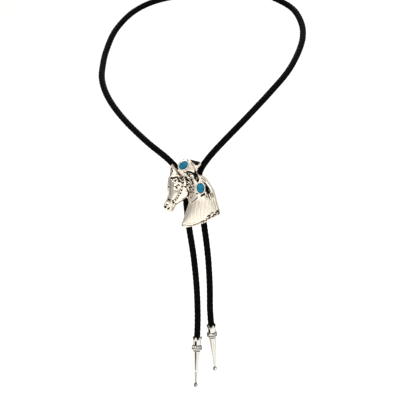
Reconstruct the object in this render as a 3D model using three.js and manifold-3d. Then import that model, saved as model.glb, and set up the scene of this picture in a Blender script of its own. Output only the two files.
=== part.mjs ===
// A bolo tie: a braided leather cord that goes round the neck, a cast horse-head slide with two
// turquoise cabochons, the bent clip that holds the slide on both cords, and two metal cord tips.
// Millimetres, +Z up, +X to the viewer's right, the front faces -Y.
// The origin is where the cord rests on the nape.
import * as THREE from "three";
import { mergeVertices } from "three/addons/utils/BufferGeometryUtils.js";
import Module from "manifold-3d";

const wasm = await Module();
wasm.setup();

// Driving dimensions of the cord
const CORD_DIAMETER = 4.5;
const CORD_SIDES = 10;
const STEPS_PER_SPAN = 2;
const CORD_SPACING = 10.9; // between the two cords where the clip holds them
const CORDS_MIDDLE_X = -1.05;
const CORDS_BEHIND_SLIDE_Y = -153.2;

// Clearances
const SEAT_GAP = 0.3; // between pieces that touch
const CORD_CLEARANCE = 0.3; // round the cord, in the clip and in the tips

// Driving dimensions of the slide
const SLIDE_WIDTH = 44.5;
const SLIDE_HEIGHT = 54.5;
const SLIDE_CENTRE_X = -0.8;
const SLIDE_CENTRE_Z = -162;
const SLIDE_TURN_DEG = 4;
const PLATE_THICKNESS = 1.8;
const PLATE_EDGE = 0.3;
const NECK_RISE = 5.6;
const FACE_RISE = 7.2;
const CHEEK_RISE = 7.7;
const MUZZLE_RISE = 6.6;
const FAR_CHEEK_RISE = 3.6;
const EAR_RISE = 5.8;
const CREST_RISE = 5.2;
const LEAF_RISE = 4.4;
const STRAP_WIDTH = 1.3;
const STRAP_RISE = 0.7; // above the cheek that it lies on
const BASE_BAND_WIDTH = 2.7;
const BASE_BAND_RISE = 3.9;
const HOLLOW_FLOOR = 2.6; // floor of the dark hollows behind the crest
const MANE_LOCK_WIDTH = 1.3;
const MANE_LOCK_RISE = 6.3;
const MANE_LOCK_TAPER = 0.7; // share of its width that a lock loses towards its tip
const SCROLL_WIRE = 1.2;
const SCROLL_RISE = 3.4;
const EYE_RADIUS = 1.3;
const EYE_STANDS_OUT = 0.5;
const CHEEK_RADIUS = 6;
const MUZZLE_RADIUS = 3.7;
const ABOVE_SLIDE = FACE_RISE + CHEEK_RISE; // higher than any form, where the cuts end

// Driving dimensions of the stones and their cups
const UPPER_STONE_LENGTH = 7.6;
const UPPER_STONE_WIDTH = 5.4;
const UPPER_STONE_TURN_DEG = 42;
const LOWER_STONE_LENGTH = 8;
const LOWER_STONE_WIDTH = 5.6;
const LOWER_STONE_TURN_DEG = 94;
const STONE_GIRDLE = 1;
const STONE_DOME = 1.5;
const BEZEL_WALL = 0.75;
const BEZEL_DEPTH = 1.1;
const UPPER_CUP_FLOOR = 2.6;
const LOWER_CUP_FLOOR = 4.8;

// Driving dimensions of the clip
const CLIP_HEIGHT = 11;
const CLIP_BOTTOM_Z = -165.5;
const CLIP_METAL = 0.9;
const CLIP_CURL_END_DEG = 150;

// Driving dimensions of the cord tips
const TIP_LENGTH = 41.2;
const CORD_IN_TIP = 8.9;
const TIP_BARREL_RADIUS = 3.25;
const TIP_COLLAR_START = 7.2;
const TIP_COLLAR_LENGTH = 3.6;
const TIP_COLLAR_RADIUS = 4.4;
const TIP_COLLAR_EDGE = 1;
const TIP_COLLAR_LOBES = 12;
const TIP_LOBE_DEPTH = 0.15;
const TIP_CONE_RADIUS = 2.9;
const TIP_NECK_RADIUS = 1;
const TIP_BALL_RADIUS = 1.8;
const TIP_CROWN_POINTS = 6;
const TIP_CROWN_DEPTH = 1.5;
const TIP_FACETS = 8;

// The cord's route, from the end inside the left tip, up behind the slide, round the neck and down
// to the end inside the right tip. The points are chosen by hand.
const CORD_POINTS = [
  [-5.7, -156.5, -285],
  [-4.8, -156.5, -276],
  [-3.3, -156.5, -260],
  [-2.5, -156.2, -236],
  [-3.5, -154.8, -211],
  [-5.8, -153.2, -187],
  [-6.5, -153.2, -168],
  [-6.5, -153.2, -155.5],
  [-7.2, -153.2, -150.5],
  [-9.6, -153.4, -146],
  [-17.2, -153, -136.1],
  [-36, -145, -120.5],
  [-58, -127, -101],
  [-73.5, -106.5, -83.7],
  [-81, -89.5, -70],
  [-83.5, -71, -57.5],
  [-83, -54, -44.5],
  [-77.5, -35, -27.5],
  [-64, -18, -12.5],
  [-44, -6, -3.8],
  [0, 2.25, 0],
  [44, -6, -3.8],
  [63.5, -16.5, -12],
  [77, -27.5, -21.5],
  [84.5, -44, -34.5],
  [86, -60, -46],
  [83, -77, -58],
  [75, -100, -73.5],
  [60.5, -122, -90],
  [45, -137, -105.5],
  [13.2, -153, -136],
  [6.3, -153.4, -145.4],
  [4.4, -153.2, -153.5],
  [4.4, -153.2, -168],
  [6.3, -153.4, -187],
  [8, -155, -212],
  [8, -156.3, -236],
  [7.1, -157.2, -254],
  [6.85, -155.55, -266.35],
  [6.65, -153.4, -275.3],
];

// Outlines of the cast forms: share of the slide's width from its left edge, and share of its
// height from its lowest point. They run anticlockwise, seen from the front.
const PLATE_OUTLINE = [
  [0.154, 0.917], [0.124, 0.875], [0.124, 0.81], [0.12, 0.752], [0.084, 0.72], [0.077, 0.654],
  [0.067, 0.583], [0.074, 0.497], [0.07, 0.448], [0.051, 0.4], [0.021, 0.358], [0.002, 0.316],
  [0.025, 0.274], [0.079, 0.239], [0.135, 0.218], [0.173, 0.241], [0.196, 0.287], [0.231, 0.332],
  [0.298, 0.365], [0.354, 0.397], [0.412, 0.435], [0.429, 0.42], [0.44, 0.365], [0.412, 0.28],
  [0.373, 0.187], [0.335, 0.093], [0.312, 0.04], [0.35, 0.009], [0.42, 0.003], [0.487, 0.017],
  [0.581, 0.037], [0.715, 0.072], [0.809, 0.116], [0.942, 0.167], [0.998, 0.207], [0.991, 0.256],
  [0.956, 0.358], [0.926, 0.46], [0.898, 0.54], [0.851, 0.606], [0.797, 0.675], [0.732, 0.736],
  [0.676, 0.764], [0.632, 0.779], [0.578, 0.819], [0.595, 0.853], [0.648, 0.892], [0.671, 0.93],
  [0.644, 0.951], [0.553, 0.968], [0.475, 0.985], [0.431, 0.988], [0.382, 0.993], [0.329, 0.974],
  [0.278, 0.941], [0.259, 0.886], [0.268, 0.829], [0.221, 0.853], [0.189, 0.888],
];
const FACE_OUTLINE = [
  [0.123, 0.739], [0.116, 0.69], [0.114, 0.618], [0.11, 0.517], [0.095, 0.451], [0.063, 0.402],
  [0.028, 0.356], [0.009, 0.316], [0.028, 0.279], [0.081, 0.244], [0.135, 0.224], [0.168, 0.246],
  [0.193, 0.287], [0.224, 0.338], [0.291, 0.371], [0.35, 0.402], [0.405, 0.44], [0.436, 0.489],
  [0.448, 0.575], [0.431, 0.675], [0.361, 0.736], [0.273, 0.761], [0.186, 0.753],
];
const FACE_SPINE = [[0.29, 0.67], [0.25, 0.53], [0.14, 0.36], [0.1, 0.31]];
const NECK_OUTLINE = [
  [0.413, 0.718], [0.42, 0.575], [0.438, 0.445], [0.445, 0.359], [0.417, 0.273], [0.377, 0.172],
  [0.336, 0.04], [0.431, 0.026], [0.553, 0.055], [0.694, 0.095], [0.834, 0.149], [0.974, 0.221],
  [0.942, 0.287], [0.904, 0.388], [0.869, 0.503], [0.816, 0.596], [0.746, 0.678], [0.667, 0.74],
  [0.58, 0.776], [0.483, 0.767],
];
const NECK_SPINE = [[0.52, 0.68], [0.6, 0.5], [0.63, 0.32], [0.62, 0.2]];
const CREST_OUTLINE = [
  [0.613, 0.784], [0.592, 0.747], [0.673, 0.704], [0.739, 0.649], [0.797, 0.586], [0.846, 0.517],
  [0.879, 0.44], [0.911, 0.345], [0.946, 0.256], [0.988, 0.264], [0.956, 0.358], [0.926, 0.46],
  [0.898, 0.54], [0.851, 0.606], [0.793, 0.675], [0.718, 0.741],
];
const CREST_SPINE = [
  [0.62, 0.76], [0.7, 0.72], [0.79, 0.63], [0.87, 0.52], [0.93, 0.37], [0.965, 0.27],
];
const LEAF_OUTLINE = [
  [0.441, 0.957], [0.42, 0.899], [0.399, 0.839], [0.424, 0.799], [0.492, 0.784], [0.553, 0.795],
  [0.571, 0.836], [0.541, 0.888], [0.497, 0.934],
];
const LEAF_SPINE = [[0.46, 0.9], [0.5, 0.83]];
const EAR_OUTLINE = [
  [0.154, 0.914], [0.131, 0.876], [0.126, 0.813], [0.128, 0.728], [0.203, 0.715], [0.266, 0.756],
  [0.235, 0.825], [0.193, 0.879],
];
const EAR_SPINE = [[0.16, 0.86], [0.185, 0.77]];
const FAR_CHEEK_OUTLINE = [
  [0.086, 0.715], [0.077, 0.654], [0.069, 0.583], [0.076, 0.497], [0.1, 0.46], [0.125, 0.52],
  [0.125, 0.72],
];
const FAR_CHEEK_SPINE = [[0.1, 0.68], [0.1, 0.52]];

// Hollows that are cut into the neck behind the crest
const HOLLOWS = [
  [
    [0.55, 0.79], [0.545, 0.745], [0.585, 0.69], [0.62, 0.665], [0.64, 0.69], [0.6, 0.735],
    [0.59, 0.78],
  ],
  [
    [0.72, 0.66], [0.745, 0.585], [0.775, 0.51], [0.82, 0.5], [0.825, 0.53], [0.78, 0.6],
  ],
];

// Straps of the bridle and the lines of the cast scroll: share points along each one
const STRAPS = {
  noseband: [[0.06, 0.41], [0.125, 0.395], [0.2, 0.345]],
  cheek_strap: [[0.375, 0.585], [0.3, 0.5], [0.24, 0.42], [0.2, 0.35]],
  brow_band: [[0.13, 0.73], [0.25, 0.715], [0.375, 0.7], [0.43, 0.62], [0.425, 0.5]],
  base_band: [
    [0.345, 0.035], [0.43, 0.028], [0.56, 0.055], [0.7, 0.098], [0.84, 0.152], [0.965, 0.212],
  ],
  scroll: [
    [0.46, 0.965], [0.55, 0.955], [0.635, 0.938], [0.655, 0.92], [0.63, 0.89], [0.585, 0.86],
  ],
};
const MANE_LOCKS = [
  [[0.36, 0.755], [0.44, 0.66], [0.49, 0.58]],
  [[0.44, 0.765], [0.5, 0.69], [0.54, 0.6]],
  [[0.5, 0.77], [0.55, 0.7], [0.59, 0.62]],
  [[0.47, 0.56], [0.5, 0.48], [0.47, 0.42]],
];

// Places of single features, in the same shares
const EYE_PLACE = [0.245, 0.6];
const CHEEK_PLACE = [0.31, 0.53];
const MUZZLE_PLACE = [0.095, 0.31];
const UPPER_STONE_PLACE = [0.362, 0.902];
const LOWER_STONE_PLACE = [0.671, 0.584];

// How the forms are rounded and how finely they are faceted
const PAD_RINGS = 4;
const PAD_REACH = 0.82; // how far the rings go from the outline to the spine
const PAD_EDGE = 0.45; // height of a pad's upright edge, as a share of its rise
const ROUND_PAD_SIDES = 20;
const EYE_SIDES = 10;
const OUTLINE_STEPS = 2; // facets between two points of an outline
const BAND_STEPS = 3; // facets between two points of a strap
const STONE_SIDES = 20;
const STONE_CROWN_RINGS = 4;
const CLIP_CURVE_STEPS = 14;
const COLLAR_LOBE_STEPS = 4;
const BALL_SIDES = 12;
const BALL_RINGS = 8;
const SAME_POINT = 1e-4; // vertices nearer than this are one

const silver = (name) =>
  new THREE.MeshStandardMaterial({ name, color: 0xe6dfd2, metalness: 1, roughness: 0.28 });
const turquoise = (name) =>
  new THREE.MeshStandardMaterial({ name, color: 0x2187a8, metalness: 0, roughness: 0.3 });
const braidedLeather = new THREE.MeshStandardMaterial({
  name: "braided_leather",
  color: 0x121111,
  metalness: 0,
  roughness: 0.5,
});

// Booleans
function solidOf(geometry) {
  const bare = geometry.clone();
  bare.deleteAttribute("normal");
  bare.deleteAttribute("uv");
  const merged = mergeVertices(bare, SAME_POINT);
  return new wasm.Manifold(
    new wasm.Mesh({
      numProp: 3,
      vertProperties: new Float32Array(merged.attributes.position.array),
      triVerts: new Uint32Array(merged.index.array),
    }),
  );
}

function geometryOf(solid) {
  const mesh = solid.getMesh();
  const geometry = new THREE.BufferGeometry();
  geometry.setAttribute("position", new THREE.BufferAttribute(mesh.vertProperties, 3));
  geometry.setIndex(new THREE.BufferAttribute(mesh.triVerts, 1));
  geometry.computeVertexNormals();
  return geometry;
}

const joined = (solids) => solids.reduce((whole, next) => whole.add(next));
const rad = THREE.MathUtils.degToRad;

// Places on the slide
function place([acrossShare, upShare]) {
  return new THREE.Vector2((acrossShare - 0.5) * SLIDE_WIDTH, (upShare - 0.5) * SLIDE_HEIGHT);
}

function smoothOutline(shares, perSpan = OUTLINE_STEPS) {
  const corners = shares.map(place).map((p) => new THREE.Vector3(p.x, p.y, 0));
  const curve = new THREE.CatmullRomCurve3(corners, true, "centripetal");
  const count = corners.length * perSpan;
  return Array.from({ length: count }, (_, i) => {
    const p = curve.getPoint(i / count);
    return new THREE.Vector2(p.x, p.y);
  });
}

function nearestOnSpine(point, spine) {
  let best = spine[0];
  for (let i = 0; i + 1 < spine.length; i++) {
    const along = spine[i + 1].clone().sub(spine[i]);
    const t = point.clone().sub(spine[i]).dot(along) / along.lengthSq();
    const foot = spine[i].clone().addScaledVector(along, THREE.MathUtils.clamp(t, 0, 1));
    if (foot.distanceTo(point) < best.distanceTo(point)) best = foot;
  }
  return best;
}

// A domed pad with a flat back at z = 0: rings run from the outline towards the spine as they rise.
function domedPad(outline, spine, rise) {
  const edge = rise * PAD_EDGE;
  const rings = [outline.map((p) => [p.x, p.y, 0])];
  for (let k = 0; k <= PAD_RINGS; k++) {
    const turn = (Math.PI / 2) * (k / PAD_RINGS);
    const inwards = PAD_REACH * (1 - Math.cos(turn));
    const height = edge + (rise - edge) * Math.sin(turn);
    rings.push(
      outline.map((p) => {
        const q = p.clone().lerp(nearestOnSpine(p, spine), inwards);
        return [q.x, q.y, height];
      }),
    );
  }
  const n = outline.length;
  const index = [];
  for (let k = 0; k + 1 < rings.length; k++) {
    for (let i = 0; i < n; i++) {
      const a = k * n + i;
      const b = k * n + ((i + 1) % n);
      index.push(a, b, b + n, a, b + n, a + n);
    }
  }
  const flat = (ring) => ring.map(([x, y]) => new THREE.Vector2(x, y));
  const top = (rings.length - 1) * n;
  for (const [a, b, c] of THREE.ShapeUtils.triangulateShape(flat(rings[0]), [])) index.push(c, b, a);
  for (const [a, b, c] of THREE.ShapeUtils.triangulateShape(flat(rings.at(-1)), []))
    index.push(top + a, top + b, top + c);
  const geometry = new THREE.BufferGeometry();
  geometry.setAttribute("position", new THREE.Float32BufferAttribute(rings.flat(2), 3));
  geometry.setIndex(index);
  return solidOf(geometry);
}

// A flat plate from z = 0 with its edges rounded over
function roundedPlate(outline, thickness, edge) {
  return solidOf(
    new THREE.ExtrudeGeometry(new THREE.Shape(outline), {
      depth: thickness - 2 * edge,
      bevelEnabled: true,
      bevelThickness: edge,
      bevelSize: edge,
      bevelOffset: -edge,
      bevelSegments: 1,
    }).translate(0, 0, edge),
  );
}

function prism(outline, low, high) {
  return solidOf(
    new THREE.ExtrudeGeometry(new THREE.Shape(outline), {
      depth: high - low,
      bevelEnabled: false,
    }).translate(0, 0, low),
  );
}

// A raised strap or lock: a half-round band along a line, from the plate up to its crown
function raisedBand(shares, width, rise, taper = 0) {
  const corners = shares.map(place).map((p) => new THREE.Vector3(p.x, p.y, 0));
  const curve = new THREE.CatmullRomCurve3(corners, false, "centripetal");
  const steps = BAND_STEPS * (corners.length - 1);
  const left = [];
  const right = [];
  for (let i = 0; i <= steps; i++) {
    const p = curve.getPoint(i / steps);
    const t = curve.getTangent(i / steps);
    const half = (width / 2) * (1 - taper * (i / steps));
    left.push(new THREE.Vector2(p.x - t.y * half, p.y + t.x * half));
    right.push(new THREE.Vector2(p.x + t.y * half, p.y - t.x * half));
  }
  const outline = [...right, ...left.reverse()];
  const spine = curve.getPoints(steps).map((p) => new THREE.Vector2(p.x, p.y));
  return domedPad(outline, spine, rise);
}

function roundOutline(centre, halfLength, halfWidth, turnDeg, sides) {
  const turn = rad(turnDeg);
  return Array.from({ length: sides }, (_, i) => {
    const a = (2 * Math.PI * i) / sides;
    return new THREE.Vector2(halfLength * Math.cos(a), halfWidth * Math.sin(a))
      .rotateAround(new THREE.Vector2(), turn)
      .add(centre);
  });
}

// The slide, in its own plane: x to the right, y up, z out of the front, the flat back at z = 0
const STONES = [
  {
    name: "turquoise_upper",
    centre: place(UPPER_STONE_PLACE),
    length: UPPER_STONE_LENGTH,
    width: UPPER_STONE_WIDTH,
    turn: UPPER_STONE_TURN_DEG,
    floor: UPPER_CUP_FLOOR,
  },
  {
    name: "turquoise_lower",
    centre: place(LOWER_STONE_PLACE),
    length: LOWER_STONE_LENGTH,
    width: LOWER_STONE_WIDTH,
    turn: LOWER_STONE_TURN_DEG,
    floor: LOWER_CUP_FLOOR,
  },
];

function horseHead() {
  let head = joined([
    roundedPlate(smoothOutline(PLATE_OUTLINE, 1), PLATE_THICKNESS, PLATE_EDGE),
    domedPad(smoothOutline(NECK_OUTLINE), NECK_SPINE.map(place), NECK_RISE),
  ]);
  for (const hollow of HOLLOWS)
    head = head.subtract(prism(smoothOutline(hollow), HOLLOW_FLOOR, ABOVE_SLIDE));
  const raised = [
    domedPad(smoothOutline(FAR_CHEEK_OUTLINE), FAR_CHEEK_SPINE.map(place), FAR_CHEEK_RISE),
    domedPad(smoothOutline(FACE_OUTLINE), FACE_SPINE.map(place), FACE_RISE),
    domedPad(smoothOutline(CREST_OUTLINE), CREST_SPINE.map(place), CREST_RISE),
    domedPad(smoothOutline(LEAF_OUTLINE), LEAF_SPINE.map(place), LEAF_RISE),
    domedPad(smoothOutline(EAR_OUTLINE), EAR_SPINE.map(place), EAR_RISE),
    roundPad(CHEEK_PLACE, CHEEK_RADIUS, CHEEK_RISE, ROUND_PAD_SIDES),
    roundPad(MUZZLE_PLACE, MUZZLE_RADIUS, MUZZLE_RISE, ROUND_PAD_SIDES),
    roundPad(EYE_PLACE, EYE_RADIUS, FACE_RISE + EYE_STANDS_OUT, EYE_SIDES),
    raisedBand(STRAPS.noseband, STRAP_WIDTH, MUZZLE_RISE + STRAP_RISE / 2),
    raisedBand(STRAPS.cheek_strap, STRAP_WIDTH, FACE_RISE + STRAP_RISE),
    raisedBand(STRAPS.brow_band, STRAP_WIDTH, FACE_RISE),
    raisedBand(STRAPS.base_band, BASE_BAND_WIDTH, BASE_BAND_RISE),
    raisedBand(STRAPS.scroll, SCROLL_WIRE, SCROLL_RISE),
    ...MANE_LOCKS.map((lock) =>
      raisedBand(lock, MANE_LOCK_WIDTH, MANE_LOCK_RISE, MANE_LOCK_TAPER),
    ),
  ];
  head = joined([head, ...raised]);
  for (const stone of STONES) {
    const cup = roundOutline(
      stone.centre,
      stone.length / 2 + SEAT_GAP + BEZEL_WALL,
      stone.width / 2 + SEAT_GAP + BEZEL_WALL,
      stone.turn,
      STONE_SIDES,
    );
    const pocket = roundOutline(
      stone.centre,
      stone.length / 2 + SEAT_GAP,
      stone.width / 2 + SEAT_GAP,
      stone.turn,
      STONE_SIDES,
    );
    head = head.add(prism(cup, 0, stone.floor + BEZEL_DEPTH));
    head = head.subtract(prism(pocket, stone.floor, ABOVE_SLIDE));
  }
  return head;
}

function roundPad(centreShares, radius, rise, sides) {
  const centre = place(centreShares);
  return domedPad(roundOutline(centre, radius, radius, 0, sides), [centre], rise);
}

// A cabochon: a short girdle under a domed crown
function cabochon(stone) {
  const profile = [new THREE.Vector2(0, 0), new THREE.Vector2(1, 0)];
  for (let i = 0; i <= STONE_CROWN_RINGS; i++) {
    const a = (Math.PI / 2) * (i / STONE_CROWN_RINGS);
    profile.push(new THREE.Vector2(Math.cos(a), STONE_GIRDLE + STONE_DOME * Math.sin(a)));
  }
  profile.at(-1).x = 0;
  const geometry = new THREE.LatheGeometry(profile, STONE_SIDES);
  geometry.rotateX(Math.PI / 2);
  geometry.scale(stone.length / 2, stone.width / 2, 1);
  return geometry;
}

// The clip: one strip of metal, flat behind the slide, with both ends curled round a cord.
// Its section is drawn in plan and extruded upwards.
function clipGeometry() {
  const inner = CORD_DIAMETER / 2 + CORD_CLEARANCE;
  const outer = inner + CLIP_METAL;
  const reach = CORD_SPACING / 2;
  const front = -Math.PI / 2;
  const end = rad(CLIP_CURL_END_DEG);
  const mirroredEnd = -Math.PI - end;
  const section = new THREE.Shape();
  section.moveTo(-reach, -outer);
  section.lineTo(reach, -outer);
  section.absarc(reach, 0, outer, front, end, false);
  section.absarc(reach, 0, inner, end, front, true);
  section.lineTo(-reach, -inner);
  section.absarc(-reach, 0, inner, front, mirroredEnd, true);
  section.absarc(-reach, 0, outer, mirroredEnd, front, false);
  return new THREE.ExtrudeGeometry(section, {
    depth: CLIP_HEIGHT,
    bevelEnabled: false,
    curveSegments: CLIP_CURVE_STEPS,
  });
}

// The cord: the tube's rings stand at the route's points and halfway between them
class CordRoute extends THREE.CatmullRomCurve3 {
  getUtoTmapping(u) {
    return u;
  }
}
const route = new CordRoute(
  CORD_POINTS.map(([x, y, z]) => new THREE.Vector3(x, y, z)),
  false,
  "centripetal",
);

function cordGeometry() {
  const section = new THREE.Shape(
    Array.from({ length: CORD_SIDES }, (_, i) => {
      const a = (2 * Math.PI * i) / CORD_SIDES;
      return new THREE.Vector2((CORD_DIAMETER / 2) * Math.cos(a), (CORD_DIAMETER / 2) * Math.sin(a));
    }),
  );
  return new THREE.ExtrudeGeometry(section, {
    steps: STEPS_PER_SPAN * (CORD_POINTS.length - 1),
    extrudePath: route,
    bevelEnabled: false,
  });
}

// A turned form along +z, from its profile of [radius, z] rows
function turned(profile, sides) {
  const points = profile.map(([radius, z]) => new THREE.Vector2(radius, z));
  return solidOf(new THREE.LatheGeometry(points, sides).rotateX(Math.PI / 2));
}

function lobedCollar(start) {
  const count = COLLAR_LOBE_STEPS * TIP_COLLAR_LOBES;
  const outline = Array.from({ length: count }, (_, i) => {
    const a = (2 * Math.PI * i) / count;
    const radius = TIP_COLLAR_RADIUS - TIP_LOBE_DEPTH * (1 - Math.cos(TIP_COLLAR_LOBES * a));
    return new THREE.Vector2(radius * Math.cos(a), radius * Math.sin(a));
  });
  return solidOf(
    new THREE.ExtrudeGeometry(new THREE.Shape(outline), {
      depth: TIP_COLLAR_LENGTH - 2 * TIP_COLLAR_EDGE,
      bevelEnabled: true,
      bevelThickness: TIP_COLLAR_EDGE,
      bevelSize: TIP_COLLAR_EDGE,
      bevelOffset: -TIP_COLLAR_EDGE,
      bevelSegments: 2,
    }).translate(0, 0, start + TIP_COLLAR_EDGE),
  );
}

// The V notches of the crown, each wedge running right across the mouth
function crownNotches(mouth) {
  const spread = Math.PI * TIP_BARREL_RADIUS / TIP_CROWN_POINTS;
  const wedge = new THREE.Shape([
    new THREE.Vector2(-spread, -SEAT_GAP),
    new THREE.Vector2(spread, -SEAT_GAP),
    new THREE.Vector2(0, TIP_CROWN_DEPTH),
  ]);
  const across = 2 * TIP_COLLAR_RADIUS;
  return Array.from({ length: TIP_CROWN_POINTS / 2 }, (_, i) =>
    solidOf(
      new THREE.ExtrudeGeometry(wedge, { depth: across, bevelEnabled: false })
        .translate(0, 0, -across / 2)
        .rotateX(Math.PI / 2)
        .rotateZ((2 * Math.PI * i) / TIP_CROWN_POINTS)
        .translate(0, 0, mouth),
    ),
  );
}

// A cord tip along +z, with z = 0 at the end of the cord that it holds
function tipGeometry() {
  const mouth = -CORD_IN_TIP;
  const end = mouth + TIP_LENGTH;
  const ballCentre = end - TIP_BALL_RADIUS;
  const collarStart = mouth + TIP_COLLAR_START;
  const collarMiddle = collarStart + TIP_COLLAR_LENGTH / 2;
  const socket = CORD_DIAMETER / 2 + CORD_CLEARANCE;
  const barrel = [
    [0, mouth],
    [TIP_BARREL_RADIUS, mouth],
    [TIP_BARREL_RADIUS, collarMiddle],
    [0, collarMiddle],
  ];
  const bore = [
    [0, mouth - SEAT_GAP],
    [socket, mouth - SEAT_GAP],
    [socket, SEAT_GAP],
    [0, SEAT_GAP],
  ];
  const cone = [
    [0, collarStart + TIP_COLLAR_EDGE],
    [TIP_CONE_RADIUS, collarStart + TIP_COLLAR_EDGE],
    [TIP_CONE_RADIUS, collarStart + TIP_COLLAR_LENGTH],
    [TIP_NECK_RADIUS, ballCentre - TIP_BALL_RADIUS],
    [TIP_NECK_RADIUS, ballCentre],
    [0, ballCentre],
  ];
  const ball = new THREE.SphereGeometry(TIP_BALL_RADIUS, BALL_SIDES, BALL_RINGS)
    .rotateX(Math.PI / 2)
    .translate(0, 0, ballCentre);
  const body = joined([
    turned(barrel, 2 * TIP_FACETS),
    lobedCollar(collarStart),
    turned(cone, TIP_FACETS),
    solidOf(ball),
  ]);
  const cuts = [turned(bore, 2 * TIP_FACETS), ...crownNotches(mouth)];
  return geometryOf(cuts.reduce((rest, cut) => rest.subtract(cut), body));
}

// Assembly
const tie = new THREE.Group();

const cord = new THREE.Mesh(cordGeometry(), braidedLeather);
cord.name = "bolo_cord";
tie.add(cord);

const clip = new THREE.Mesh(clipGeometry(), silver("clip_metal"));
clip.name = "slide_clip";
clip.position.set(CORDS_MIDDLE_X, CORDS_BEHIND_SLIDE_Y, CLIP_BOTTOM_Z);
tie.add(clip);

const clipFront = CORD_DIAMETER / 2 + CORD_CLEARANCE + CLIP_METAL;
const slide = new THREE.Group();
slide.position.set(SLIDE_CENTRE_X, CORDS_BEHIND_SLIDE_Y - clipFront - SEAT_GAP, SLIDE_CENTRE_Z);
slide.rotation.y = rad(SLIDE_TURN_DEG);
const slidePlane = new THREE.Group();
slidePlane.rotation.x = Math.PI / 2;
slide.add(slidePlane);
tie.add(slide);

const head = new THREE.Mesh(geometryOf(horseHead()), silver("cast_silver"));
head.name = "horse_head";
slidePlane.add(head);

for (const stone of STONES) {
  const mesh = new THREE.Mesh(cabochon(stone), turquoise(stone.name));
  mesh.name = stone.name;
  mesh.rotation.z = rad(stone.turn);
  mesh.position.set(stone.centre.x, stone.centre.y, stone.floor + SEAT_GAP);
  slidePlane.add(mesh);
}

for (const [name, at, sense] of [["tip_left", 0, -1], ["tip_right", 1, 1]]) {
  const tip = new THREE.Mesh(tipGeometry(), silver(name));
  tip.name = name;
  tip.position.copy(route.getPoint(at));
  const outwards = route.getTangent(at).multiplyScalar(sense);
  tip.quaternion.setFromUnitVectors(new THREE.Vector3(0, 0, 1), outwards);
  tie.add(tip);
}

export default tie;
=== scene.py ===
"""A bolo tie: braided leather cord, cast horse-head slide with two turquoise stones, metal cord tips."""
import math

import bmesh
import bpy
import numpy as np
from mathutils import Matrix, Vector


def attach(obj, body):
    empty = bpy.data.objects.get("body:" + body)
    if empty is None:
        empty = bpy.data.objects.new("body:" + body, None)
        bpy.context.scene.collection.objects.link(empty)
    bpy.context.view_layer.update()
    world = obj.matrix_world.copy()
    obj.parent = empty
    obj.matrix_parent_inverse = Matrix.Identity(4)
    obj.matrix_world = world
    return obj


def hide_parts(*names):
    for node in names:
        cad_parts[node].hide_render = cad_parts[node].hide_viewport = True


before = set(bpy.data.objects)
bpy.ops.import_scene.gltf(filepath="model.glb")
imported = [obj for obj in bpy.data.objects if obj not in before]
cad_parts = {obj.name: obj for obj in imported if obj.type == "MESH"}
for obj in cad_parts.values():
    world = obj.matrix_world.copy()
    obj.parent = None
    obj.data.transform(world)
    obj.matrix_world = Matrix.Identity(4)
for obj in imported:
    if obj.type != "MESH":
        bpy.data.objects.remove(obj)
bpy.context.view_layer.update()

MM = 0.001
TURN = 2 * math.pi


# Camera
CAMERA_AZIMUTH_DEG = 9
CAMERA_ELEVATION_DEG = 6
CAMERA_ROLL_DEG = 4
CAMERA_DISTANCE = 1.0
CAMERA_FOCAL_PX = 1282.05
PHOTO_SIZE_PX = 400
SENSOR_MM = 36
AIM_POINT = Vector((0, -0.157, -0.162))
AIM_PX = (193, 193)  # where the aim point stands in the photo


def make_camera():
    azimuth, elevation, roll = (
        math.radians(a) for a in (CAMERA_AZIMUTH_DEG, CAMERA_ELEVATION_DEG, CAMERA_ROLL_DEG)
    )
    flat = math.cos(elevation)
    forward = Vector((-math.sin(azimuth) * flat, math.cos(azimuth) * flat, -math.sin(elevation)))
    level = Vector((math.cos(azimuth), math.sin(azimuth), 0))
    upright = level.cross(forward)
    right = level * math.cos(roll) - upright * math.sin(roll)
    up = upright * math.cos(roll) + level * math.sin(roll)
    across = (AIM_PX[0] - PHOTO_SIZE_PX / 2) / CAMERA_FOCAL_PX
    down = (AIM_PX[1] - PHOTO_SIZE_PX / 2) / CAMERA_FOCAL_PX
    data = bpy.data.cameras.new("camera")
    data.sensor_width = SENSOR_MM
    data.lens = CAMERA_FOCAL_PX * SENSOR_MM / PHOTO_SIZE_PX
    camera = bpy.data.objects.new("camera", data)
    bpy.context.collection.objects.link(camera)
    turn = Matrix((right, up, -forward)).transposed().to_4x4()
    place = AIM_POINT - CAMERA_DISTANCE * (forward + right * across - up * down)
    camera.matrix_world = Matrix.Translation(place) @ turn
    bpy.context.scene.camera = camera


# Materials
def linear(hex_colour):
    """An sRGB hex colour as linear red, green, blue and alpha."""
    channels = [int(hex_colour[i : i + 2], 16) / 255 for i in (1, 3, 5)]
    return [c / 12.92 if c <= 0.04045 else ((c + 0.055) / 1.055) ** 2.4 for c in channels] + [1]


def set_inputs(tree, node, inputs):
    """Gives a node its inputs: each a plain value, or a link as (other node, output)."""
    for name, value in inputs.items():
        if isinstance(value, tuple):
            tree.links.new(value[0].outputs[value[1]], node.inputs[name])
        else:
            node.inputs[name].default_value = value


def add_node(tree, kind, inputs=(), settings=(), stops=()):
    """A node of that kind, with its inputs, settings and, on a ramp, (place, hex colour) stops."""
    node = tree.nodes.new("ShaderNode" + kind)
    for name, value in dict(settings).items():
        setattr(node, name, value)
    set_inputs(tree, node, dict(inputs))
    for index, (at, colour) in enumerate(stops):
        elements = node.color_ramp.elements
        stop = elements[index] if index < len(elements) else elements.new(at)
        stop.position = at
        stop.color = linear(colour)
    return node


def new_material(name):
    """A material, its node tree, its shader, and the place on the object as a link."""
    material = bpy.data.materials.new(name)
    material.use_nodes = True
    tree = material.node_tree
    return material, tree, tree.nodes["Principled BSDF"], (add_node(tree, "TexCoord"), "Object")


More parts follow.
